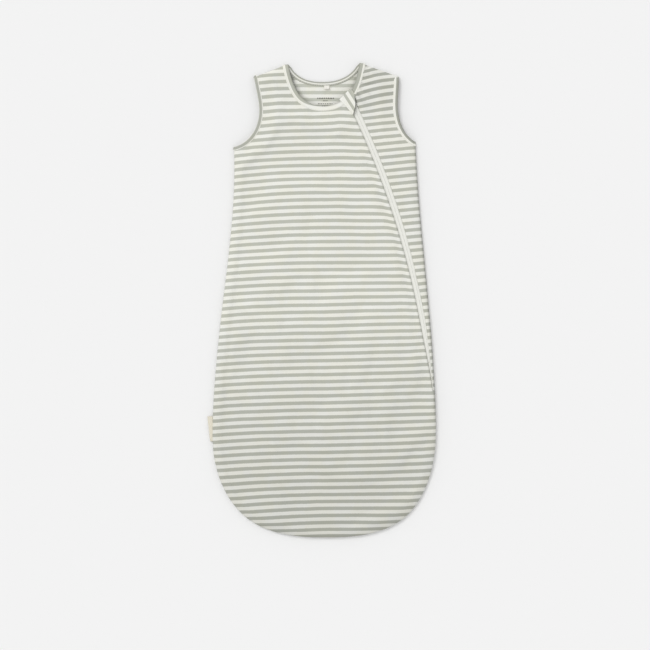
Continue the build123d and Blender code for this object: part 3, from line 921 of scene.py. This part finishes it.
def painted_edge_shade(xy):
    """Painted shade where the cloth turns under at the right side, and a painted shadow along the main
    panel's edge beside the zip.
    """
    seam = distance_to(closed_seams[0], xy)[0]
    right = smooth((xy[:, 0] - 120) / 20) * smooth((xy[:, 1] + 195) / 50)
    offset, down = zip_offset(xy)
    beside_zip = smooth(1 - np.maximum(0, from_strip(xy)) / 2.4) * smooth((zip_length - down) / 20)
    return (1 - 0.42 * right * smooth(1 - seam / 3.8)) * (1 - 0.2 * beside_zip * (offset < 0))


def neck_shade(xy):
    """The back lies in deep shade just inside the edge of the front neck, most of all on the left."""
    return 1 - (0.16 + 0.4 * smooth((-18 - xy[:, 0]) / 26)) * smooth(1 - from_neck(xy) / 6.0)


# ---------------- front and back panels


def panel(name, points, triangles, thicker, **pattern):
    """A sheet of striped jersey with its thickness, which goes down (-1) or up (1) from the points."""
    obj = make_object(name, points, triangles, striped, "striped_jersey", **pattern)
    thicken(obj, FABRIC, thicker)
    return obj


def panel_edge(neck):
    """The outline of a panel that stops a little short of the neck and the armholes."""
    return [body_path, trimmed(armhole_right, EDGE_TRIM), shoulder_right,
            trimmed(neck, EDGE_TRIM), shoulder_left, trimmed(armhole_left, EDGE_TRIM)]


front_edge = panel_edge(front_neck[::-1])
strip_left, strip_right = zip_line(-1), zip_line(1)
strip_end = zip_xy(np.linspace(-strip_edge(-1, zip_length) - 0.02, strip_half + 9.0, 8), zip_length)
front_xy, front_triangles = sheet(front_edge, (strip_left, strip_right, strip_end))
centroids = front_xy[front_triangles].mean(axis=1)
middle_offset, middle_down = zip_offset(centroids)
beside_strip = from_strip(centroids) > 0
left_of_strip = ((middle_offset < 0) & beside_strip) | (middle_down > zip_length)
right_of_strip = (middle_offset > 0) & beside_strip & (middle_down < zip_length)


def fold_under(xy, height, depth):
    """Rounds a panel's edge down beside the zip."""
    beyond = np.maximum(0, zip_offset(xy)[1] - zip_length)
    gap = np.clip(np.hypot(np.maximum(0, from_strip(xy)), beyond) / 1.8, 0, 1)
    return height - depth * (1 - np.sqrt(1 - (1 - gap) ** 2))


fold = joint("front_flap_fold")
fold_point = np.array(fold["pos_m"]) / MM
fold_way = np.array(fold["axis"])
fold_side = np.array([-fold_way[1], fold_way[0], 0.0])
if (lift_onto(neck_top[None], [0.0])[0] - fold_point) @ fold_side < 0:
    fold_side = -fold_side


def carried_by_flap(obj):
    """Cloth on the front flap; only its placement is baked into its points."""
    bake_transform(obj)


slack_edge = [resample(p, 6.0) for p in front_edge]
slack_xy, slack_triangles = sheet(slack_edge, rows=(4.0,), spacing=SLACK_GRID, edge_spacing=6.0)
slack_ring = np.vstack(slack_edge + [slack_edge[0][:1]])
held = (distance_to(slack_ring, slack_xy)[0] < 5.0) | (from_strip(slack_xy) < 4.0)
slack_height = front_height(slack_xy, with_wrinkles=False) + 0.6 * wave(slack_xy, (26.0, 60.0), 61) * ~held
slack = relaxed(slack_xy, slack_triangles, slack_height, held, CLOTH_FRAMES)


def settle(xy, height):
    """Points of a front panel with the simulated slack added, kept within limits and away from its edges."""
    moved = carried_over(slack_xy, slack_triangles, slack, xy)
    free = smooth(nearest(closed_seams, xy) / 16.0) * smooth(nearest(armholes, xy) / 20.0)
    free *= smooth(from_neck(xy) / 20.0) * smooth(from_strip(xy) / 9.0)
    sideways = SIDE_CAP * np.tanh(moved[:, :2] / SIDE_CAP)
    upward = LIFT_CAP * np.tanh((moved[:, 2] - moved[:, 2].mean()) / LIFT_CAP)
    level = height + upward * free
    # Near the fold line the cloth stays low enough for the opened flap to lie on it without passing through.
    from_fold = np.abs((xy - fold_point[:2]) @ fold_side[:2])
    most = fold_point[2] - 0.15 + math.sin(math.radians(5.0)) * from_fold
    level = most - 0.3 * np.logaddexp(0, (most - level) / 0.3)
    return lift_onto(xy + sideways * free[:, None], level)


main_xy, main_triangles = part_of(front_xy, front_triangles, left_of_strip)
main_height = fold_under(main_xy, front_height(main_xy), 1.2)
front_fabric = panel("front_main_cloth", settle(main_xy, main_height), main_triangles, -1,
                     stripe=front_stripe(main_xy), depth=hem_depth(main_xy),
                     shade=hem_shade(main_xy) * painted_edge_shade(main_xy))
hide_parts("front_panel", "front_flap_panel")
carried_by_flap(front_fabric)

side_xy, side_triangles = part_of(front_xy, front_triangles, right_of_strip)
side_height = fold_under(side_xy, front_height(side_xy), 0.4)
# Painted shade: the side panel darkens towards the right shoulder and in the valleys of its drag creases.
shoulder = smooth((side_xy[:, 1] - 250) / 70)
creases = 1 - 0.16 * smooth(-drag_lines(side_xy, from_neck(side_xy)) / 0.8)
side_fabric = panel("front_side_cloth", settle(side_xy, side_height), side_triangles, -1,
                    stripe=side_stripe(side_xy), depth=0.975 - 0.12 * shoulder,
                    shade=(0.975 - 0.045 * shoulder) * creases * painted_edge_shade(side_xy))
stays(side_fabric, "side_front_panel")

back_xy, back_triangles = sheet(panel_edge(back_neck))
back_fabric = panel("back_cloth", lift_onto(back_xy, back_height(back_xy)), back_triangles, 1,
                    stripe=back_stripe(back_xy), shade=neck_shade(back_xy), depth=1.1)
stays(back_fabric, "back_panel")

# ---------------- folded bindings


def tone_of(u, bands):
    """Signed distance into the nearest sage band, from the band edges given in millimetres."""
    inside_by = [np.minimum(u - start, end - u) for start, end in bands]
    return np.max(inside_by, axis=0)


def folded_band(path, width, bands, height, gathers=0.22):
    """A bound edge: a folded strip whose fold lies on the path and which covers the cloth on its left.

    Returns its points, faces, tone, painted shade that deepens towards the fold, and the line of its
    stitching.
    """
    s = arc_lengths(path)
    normal = left_normals(path)
    turn = around(28)
    share = (1 - np.cos(turn)) / 2
    rise = np.sign(np.sin(turn)) * np.abs(np.sin(turn)) ** 0.55
    puff = 1 + 0.25 * wave_over(s, 0 * s, (8.0, 8.0), 21)
    size = width * (1 + 0.04 * wave_over(s, 0 * s, (16.0, 8.0), 22))
    ends = 0.45 + 0.55 * smooth(np.minimum(s, s[-1] - s) / 9.0)
    u = share[None, :] * size[:, None]
    xy = path[:, None, :] + u[..., None] * normal[:, None, :]
    flat = xy.reshape(-1, 2)
    on_cloth = (path[:, None, :] + np.maximum(u, EDGE_TRIM)[..., None] * normal[:, None, :]).reshape(-1, 2)
    middle = height(on_cloth).reshape(u.shape)
    creases = wave_over(np.repeat(s, len(turn)).reshape(u.shape), u * 0.5, (5.0, 14.0), 23)
    z = middle + rise[None, :] * (BAND_THICK / 2 * ends * (0.9 + 0.1 * puff))[:, None] + gathers * creases
    points = lift_onto(flat, np.maximum(z, LOWEST).ravel())
    faces = [face[::-1] for face in tube_faces(len(path), len(turn))]
    tone = tone_of(u, bands)
    # Painted shade: the band darkens towards its fold, where shade falls.
    painted_fold_shade = 1 - 0.22 * smooth(1 - u / 2.4)
    stitch_xy = path + (size * 0.84)[:, None] * normal
    stitch_z = height(stitch_xy) + BAND_THICK / 2 * ends * 0.86 + 0.1
    return points, faces, tone.ravel(), painted_fold_shade.ravel(), lift_onto(stitch_xy, stitch_z)


def front_middle(xy):
    return front_height(xy, with_wrinkles=False) - FABRIC / 2


def back_middle(xy):
    return back_height(xy) + FABRIC / 2 + 0.2


def stitches(paths, radius=0.24, margin=3.0):
    """Rows of short stitches lying along 3-D paths."""
    parts = []
    pitch = STITCH_LENGTH + STITCH_GAP
    for path in paths:
        for k in range(int((arc_lengths(path)[-1] - 2 * margin) / pitch)):
            at = margin + k * pitch + np.array([0.0, 0.15, 0.5, 0.85, 1.0]) * STITCH_LENGTH
            run = points_at(at, path)
            run[:, 2] += np.array([-0.35, -0.05, 0.08, -0.05, -0.35])
            parts.append(tube(run, radius, sides=5, taper=True))
    return joined(parts)


def bands_object(name, runs, replaced, depth=0.94):
    """One binding piece and its stitching from several folded bands."""
    points, faces = joined([run[:2] for run in runs])
    tone = np.concatenate([run[2] for run in runs])
    painted_fold_shade = np.concatenate([run[3] for run in runs])
    cloth = make_object(name, points, faces, banded, "binding", tone=tone, depth=depth, shade=painted_fold_shade)
    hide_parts(replaced)
    sewn_points, sewn_faces = stitches([run[4] for run in runs])
    sewn = make_object(name + "_stitches", sewn_points, sewn_faces, thread, "seam_thread")
    return cloth, sewn


neck_offset, neck_down = zip_offset(front_neck)
crossing = int(np.argmin(np.abs(neck_offset) + 1e3 * (neck_down < -30)))
front_neck_left = front_neck[:crossing][::-1]
front_neck_right = front_neck[crossing + 1:][::-1]

# The sage stripe of the neck binding runs off its fold towards the middle of the neck.
left_s = arc_lengths(front_neck_left)
left_sage = -0.5 + 5.4 * smooth((left_s - 34.0) / 44.0)
left_width = NECK_BAND - 1.9 * smooth(1 - (left_s - 30.0) / 45.0)
left_runs = [folded_band(front_neck_left, left_width, [(-1.0, left_sage[:, None])], front_middle)]
neck_front, neck_front_stitches = bands_object("front_neck_binding_cloth", left_runs, "neck_binding_front")
carried_by_flap(neck_front)
carried_by_flap(neck_front_stitches)

back_neck_fold = trimmed(resample(back_neck, 2.0), -1.9)
right_runs = [folded_band(back_neck_fold, BACK_NECK_BAND, BACK_NECK_STRIPES, back_middle, 0.1),
              folded_band(front_neck_right, NECK_BAND, RIGHT_NECK_STRIPES, front_middle, 0.5)]
for piece in bands_object("back_neck_binding_cloth", right_runs, "neck_binding_back", depth=0.88):
    stays(piece)

for (side, width, bands, depth), path in zip(ARM_BANDS, (armhole_left, armhole_right)):
    path = resample(path, 2.0)
    runs = [folded_band(path, width, bands, front_middle),
            folded_band(path, width * 0.9, bands, back_middle, 0.1)]
    for piece in bands_object(f"armhole_binding_{side}_cloth", runs, f"armhole_binding_{side}", depth=depth):
        stays(piece)

# ---------------- zip


def room_beside_zip(downs, most, margin=2.6):
    """How far out from the zip's centre line the bag still reaches, at distances down the zip."""
    steps = np.linspace(0.4, most, 40)
    points = zip_xy(steps[None, :], downs[:, None]).reshape(-1, 2)
    fits = inside(outline_ring, points) & (distance_to(outline_ring, points)[0] > margin)
    return np.maximum(0.5, (fits.reshape(len(downs), -1) * steps[None, :]).max(axis=1))


def strip_grid(offsets, start, end, spacing=2.5):
    """Points in rows across a strip that follows the zip, and the faces between them."""
    downs = np.linspace(start, end, int((end - start) / spacing) + 1)
    offsets = np.repeat(np.asarray(offsets)[None, :], len(downs), axis=0)
    if offsets.max() > 0:
        offsets = offsets * (room_beside_zip(downs, offsets.max()) / offsets.max())[:, None]
    grid = zip_xy(offsets, downs[:, None])
    n, m = grid.shape[:2]
    faces = [(i * m + j, (i + 1) * m + j, (i + 1) * m + j + 1, i * m + j + 1)
             for i in range(n - 1) for j in range(m - 1)]
    return grid.reshape(-1, 2), faces


outline = (body_path, armhole_right, shoulder_right, back_neck, shoulder_left, armhole_left)
outline_ring = np.vstack([resample(p, COARSE)[:-1] for p in outline] + [body_path[:1]])
TAPE_TOP = low_high("zip_tape_right")[1][2]
TAPE_HALF = zip_radius - polar(node_points("zip_tape_left"))[0].min()


def tape_height(xy):
    """Top of the tape: level between the panels, and just under them elsewhere."""
    offset, _ = zip_offset(xy)
    under = front_height(xy, with_wrinkles=False) - FABRIC - 0.9
    into_strip = -from_strip(xy)
    level = TAPE_TOP + 0.2 - 0.05 * smooth(1 - np.abs(offset) / 0.8)
    level = level - np.where(offset < 0, 1.1, 0.0) * smooth(1 - into_strip / 2.0)
    shown = np.minimum(level, under + FABRIC + 0.5)
    return np.where(into_strip > 0, shown, np.minimum(TAPE_TOP - 0.6, under))


def tape(name, side, start, end, replaced):
    """One side of the zip's woven tape, from its edge at the centre line out to its full width."""
    offsets = side * np.array([0.04, 0.5, 1.2, 2.2, 3.0, 3.8, 4.5, 5.2, 6.2, 8.0, 11.0, TAPE_HALF])
    xy, faces = strip_grid(np.sort(offsets), start, end)
    obj = make_object(name, lift_onto(xy, tape_height(xy)), faces, tape_cloth, "zip_tape")
    thicken(obj, TAPE_THICKNESS, -1 if obj.data.polygons[0].normal.z > 0 else 1)
    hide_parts(replaced)
    return obj


carried_by_flap(tape("zip_tape_left_weave", -1, open_start, open_length, "zip_tape_left"))
stays(tape("zip_tape_tail_weave", -1, open_length + 0.1, zip_length, "zip_tape_left_tail"))
stays(tape("zip_tape_right_weave", 1, 0.0, zip_length, "zip_tape_right"))


def coil(name, side, phase, node):
    """The nylon coil: one continuous filament wound along the tape's edge."""
    low, high = low_high(node)
    start, end = zip_span(node)
    count = int((end - start) / COIL_PITCH * 8)
    down = np.linspace(start, end, count)
    turn = 2 * math.pi * (down / COIL_PITCH + phase)
    tall = (high[2] - low[2]) / 2 - COIL_WIRE
    xy = zip_xy(side * (1.02 + 0.86 * np.cos(turn)), down)
    points, faces = tube(lift_onto(xy, (low[2] + high[2]) / 2 + tall * np.sin(turn)), COIL_WIRE, sides=5)
    obj = make_object(name, points, faces, coil_nylon, "zip_coil")
    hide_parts(node)
    return obj


carried_by_flap(coil("zip_coil_left_filament", -1, 0.0, "zip_coil_left"))
stays(coil("zip_coil_right_filament", 1, 0.5, "zip_coil_right"))


# ---------------- small padded pieces


def pillow(grid, middle, half, rim=1.0):
    """A closed flat piece with round rims, from a grid of points, its middle heights and half thickness."""
    n, m = grid.shape[:2]
    step_u = np.linalg.norm(np.diff(grid, axis=0), axis=2)
    step_v = np.linalg.norm(np.diff(grid, axis=1), axis=2)
    from_start_u = np.vstack([np.zeros((1, m)), np.cumsum(step_u, axis=0)])
    from_start_v = np.hstack([np.zeros((n, 1)), np.cumsum(step_v, axis=1)])
    gap = np.minimum(np.minimum(from_start_u, from_start_u[-1:] - from_start_u),
                     np.minimum(from_start_v, from_start_v[:, -1:] - from_start_v))
    swell = np.sqrt(1 - (1 - np.clip(gap / rim, 0, 1)) ** 2) * half
    xy = grid.reshape(-1, 2)
    top = lift_onto(xy, (middle + swell).ravel())
    bottom = lift_onto(xy, (middle - swell).ravel())
    index = np.arange(n * m).reshape(n, m)
    below = index.copy()
    inner = np.zeros((n, m), bool)
    inner[1:-1, 1:-1] = True
    below[inner] = n * m + np.arange(inner.sum())
    faces = []
    for i in range(n - 1):
        for j in range(m - 1):
            faces.append((index[i, j], index[i + 1, j], index[i + 1, j + 1], index[i, j + 1]))
            faces.append((below[i, j + 1], below[i + 1, j + 1], below[i + 1, j], below[i, j]))
    points = np.vstack([top, bottom[inner.ravel()]])
    return points, faces, inner.ravel()


def spread(values, inner):
    """Per-point values of a pillow from the values on its grid."""
    values = np.asarray(values).ravel()
    return np.concatenate([values, values[inner]])


def ruled(left, right, shares):
    """Grid between two lines of points."""
    return left[:, None, :] + shares[None, :, None] * (right - left)[:, None, :]


# The garage: a folded patch of the same jersey over the parked slider.
garage_joint = joint("garage_fold")
garage_start = np.array(garage_joint["pos_m"][:2]) / MM
garage_way = np.array(garage_joint["axis"][:2])
garage_side = np.array([-garage_way[1], garage_way[0]])


def garage_edges(rows):
    """The sewn edge and the free edge of the garage, from its top end to its lower one."""
    ring = flat_loop("zip_garage")
    loop = resample(np.vstack([ring, ring[:1]]), 0.5)[:-1]
    along = (loop - garage_start) @ garage_way
    first, last = int(np.argmin(along)), int(np.argmax(along))
    n = len(loop)
    ways = [loop[(first + np.arange((last - first) % n + 1)) % n],
            loop[(first - np.arange((first - last) % n + 1)) % n]]
    free = max(ways, key=lambda p: ((p - garage_start) @ garage_side).mean())
    end = loop[last]
    sewn = garage_start + np.linspace(0, 1.03, rows)[:, None] * (end - garage_start)
    sewn = sewn - garage_side * (4.8 * np.linspace(1, 0.1, rows) ** 1.5)[:, None]
    return sewn, points_at(np.linspace(0, arc_lengths(free)[-1] - 0.6, rows), free)


sewn_edge, free_edge = garage_edges(44)
shares = 0.5 - 0.5 * np.cos(math.pi * np.linspace(0, 1, 30))
grid = ruled(sewn_edge, free_edge, shares)
across = (grid - garage_start) @ garage_side
along = (grid - garage_start) @ garage_way
panel_top = low_high("front_flap_panel")[1][2]
roof = low_high("slider_cap")[1][2] + 1.2
middle = panel_top + 0.9 + (roof - panel_top - 0.9) * smooth(across / 5.5)
middle += 0.55 * bump((across - 2.0) / 2.2) - 0.8 * smooth((across - 9.0) / 9.0)
middle += 0.25 * wave_over(along, across, (6.0, 14.0), 31)
points, faces, inner = pillow(grid, middle, GARAGE_HALF, rim=1.3)
tone = tone_of(across, GARAGE_STRIPES)
down_edge = np.linspace(0, 1, len(sewn_edge))[:, None]
from_rim = np.linalg.norm(grid - grid[:, -1:], axis=2)
# Painted shadow: the lower part of the garage's free rim is darkened, for the shaded gap over the slider.
painted_gap_shadow = 1 - 0.87 * smooth(1.4 - from_rim / 1.5) * smooth((down_edge - 0.25) / 0.2)
garage = make_object("zip_garage_cloth", points, faces, banded, "striped_jersey",
                     tone=spread(tone, inner), shade=spread(1.02 * painted_gap_shadow, inner), depth=0.97)
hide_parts("zip_garage")
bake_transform(garage)
sewn_row = grid[:, 7]
row_points, row_faces = stitches([lift_onto(sewn_row, middle[:, 7] + 0.95)])
garage_stitches = make_object("zip_garage_stitches", row_points, row_faces, thread, "seam_thread")
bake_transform(garage_stitches)

# ---------------- seams and the guard inside the bag


def overlocked(node, path):
    """Seam allowances held together by a thread that winds round them."""
    path = resample(path, 2.0)
    normal = left_normals(path)
    turn = around(12)
    profile = np.stack([0.7 + OVERLOCK_WIDTH / 2 * (1 - np.cos(turn)), 0.45 * np.sin(turn)], axis=1)
    profile = np.repeat(profile[None], len(path), axis=0)
    ups = np.column_stack([np.zeros((len(path), 2)), np.ones(len(path))])
    spine = lift_onto(path, np.full(len(path), SEAM_HEIGHT))
    core = sweep(spine, np.column_stack([normal, np.zeros(len(path))]), ups, profile)
    at = np.arange(2.0, arc_lengths(path)[-1] - 2.0, OVERLOCK_PITCH / 8)
    wind = 2 * math.pi * at / OVERLOCK_PITCH
    reach = 0.7 + OVERLOCK_WIDTH / 2 * (1 - 1.06 * np.cos(wind))
    winding = lift_onto(points_at(at, path) + points_at(at, path, normal) * reach[:, None],
                        SEAM_HEIGHT + 0.62 * np.sin(wind))
    points, faces = joined([core, tube(winding, 0.26, sides=4)])
    stays(make_object(f"{node}_overlock", points, faces, thread, "seam_thread"), node)


hem_level = low_high("side_seam_left")[0][1]
left_end = int(np.argmax(body_path[:, 1] < hem_level))
right_end = len(body_path) - 1 - int(np.argmax(body_path[::-1, 1] < hem_level))
for seam, path in (("side_seam_left", body_path[4:left_end]), ("hem_seam", body_path[left_end:right_end]),
                   ("side_seam_right", body_path[right_end:-4]), ("shoulder_seam_left", shoulder_left[4:-4]),
                   ("shoulder_seam_right", shoulder_right[4:-4])):
    overlocked(seam, path)

guard_offset, guard_down = zip_offset(node_points("inner_zip_guard"))
guard_low, guard_high = guard_offset.min(), guard_offset.max()
downs = np.linspace(guard_down.min(), guard_down.max(), 180)
offsets = guard_low + (guard_high - guard_low) * (0.5 - 0.5 * np.cos(math.pi * np.linspace(0, 1, 16)))
out_to = np.minimum(guard_high, room_beside_zip(downs, guard_high, margin=4.5))
squeeze = (out_to - guard_low) / (guard_high - guard_low)
grid = zip_xy(guard_low + (offsets[None, :] - guard_low) * squeeze[:, None], downs[:, None])
middle = low_high("inner_zip_guard")[0][2] + 0.5 + 0.25 * wave(grid.reshape(-1, 2), (9.0, 26.0), 41)
points, faces, inner = pillow(grid, middle.reshape(grid.shape[:2]), 0.45, rim=0.8)
tone = tone_of(np.repeat(offsets[None], len(downs), 0), GUARD_STRIPES)
guard = make_object("inner_zip_guard_cloth", points, faces, banded, "striped_jersey", depth=0.95, shade=1.0,
                    tone=spread(tone, inner))
stays(guard, "inner_zip_guard")

# ---------------- labels


def label(node, middle, half, cloth, grow=((0, 0), (0, 0)), lean=(0.0, 0.0), columns=18, rows=18):
    """A flat woven label over a CAD node's box, whose low and high corner may be moved.

    middle(x share, y share) gives its height, and lean shifts its lower end.
    """
    low, high = (corner[:2] + move for corner, move in zip(low_high(node), np.array(grow)))
    xs = np.linspace(low[0], high[0], columns)
    ys = np.linspace(high[1], low[1], rows)
    grid = np.stack(np.meshgrid(xs, ys), axis=-1)
    over, down = np.meshgrid(np.linspace(0, 1, columns), np.linspace(0, 1, rows))
    grid[..., 0] += lean[0] * down * (1 - over) + lean[1] * down * over
    points, faces, inner = pillow(grid, middle(over, down), half, rim=0.7)
    obj = make_object(f"{node}_weave", points, faces, *cloth, tone=spread(over, inner))
    stays(obj, node)


woven = (label_cloth, "label_weave")
label("neck_label", lambda over, down: 2.3 + 2.6 * down ** 1.5, 0.5, woven, ((1.4, 3.4), (-0.3, 2.6)))
label("side_tag", lambda over, down: 2.9 + 0.25 * np.sin(3.0 * down) - 0.5 * (1 - over), 0.8,
      (tag_cloth, "tag_weave"), lean=(4.2, 1.8), columns=24, rows=40)
label("care_label", lambda over, down: 3.9 + 0.5 * np.sin(5.0 * down) * (1 - over), 0.3, woven, rows=30)

# A printed size and care panel inside the back of the neck, as plain bars with no lettering.
bars = []
for row, (y, start, end, height) in enumerate(PRINT_ROWS):
    x = start
    k = 0
    while x < end:
        length = 1.8 + 1.1 * math.sin(2.3 * k + row) ** 2
        xs = np.linspace(x, min(x + length, end + 0.5), 5)
        ys = np.linspace(y + height / 2, y - height / 2, 4)
        grid = np.stack(np.meshgrid(xs, ys), axis=-1)
        level = (back_height(grid.reshape(-1, 2)) + FABRIC).reshape(grid.shape[:2])
        bars.append(pillow(grid, level, 0.09, rim=0.3)[:2])
        x += length + 0.9
        k += 1
points, faces = joined(bars)
stays(make_object("neck_print_bars", points, faces, print_ink, "label_weave"))

# ---------------- CAD nodes that are shown as they are

for node, material in (("slider_body", enamel), ("slider_cap", enamel), ("pull_tab", enamel),
                       ("slider_lock_spring", steel), ("zip_top_stop_left", stop_plastic),
                       ("zip_top_stop_right", stop_plastic), ("zip_bottom_stop", stop_plastic)):
    for material_slot in frame["nodes"][node].material_slots:
        material_slot.material = material

# ---------------- floor, light, camera

floor = Shader("studio_floor", roughness=0.95, specular=0.1)
floor.colour(floor.scaled(linear(*[FLOOR_GREY] * 3), floor.varied(floor.place(), 400.0, 0.004)))
floor_mesh = bpy.data.meshes.new("studio_floor")
corners = [(x * FLOOR_REACH, y * FLOOR_REACH, 0) for x, y in ((-1, -1), (1, -1), (1, 1), (-1, 1))]
floor_mesh.from_pydata(corners, [], [(0, 1, 2, 3)])
floor_mesh.materials.append(floor.material)
floor_object = placed("studio_floor", floor_mesh)
floor_object.location.z = -FLOOR_DROP

world = bpy.data.worlds.new("studio")
world.use_nodes = True
background = world.node_tree.nodes["Background"]
background.inputs["Color"].default_value = (1.0, 1.0, 1.0, 1.0)
background.inputs["Strength"].default_value = WORLD_LIGHT
scene = bpy.context.scene
scene.world = world

sun = bpy.data.lights.new("key_light", "SUN")
sun.energy = SUN_LIGHT
sun.angle = math.radians(SUN_SPREAD)
sun_object = placed("key_light", sun)
sun_object.rotation_euler = Vector((0.5, -0.62, -1.0)).to_track_quat("-Z", "Y").to_euler()

scene.view_settings.view_transform = "Standard"
camera = bpy.data.cameras.new("camera")
camera.sensor_width = SENSOR_WIDTH
camera.lens = SENSOR_WIDTH * CAMERA_HEIGHT / PICTURE_WIDTH
camera.clip_end = 20.0
camera_object = placed("camera", camera)
camera_object.location = (PICTURE_MIDDLE[0] * MM, PICTURE_MIDDLE[1] * MM, (CAMERA_HEIGHT + 8.0) * MM)
scene.camera = camera_object
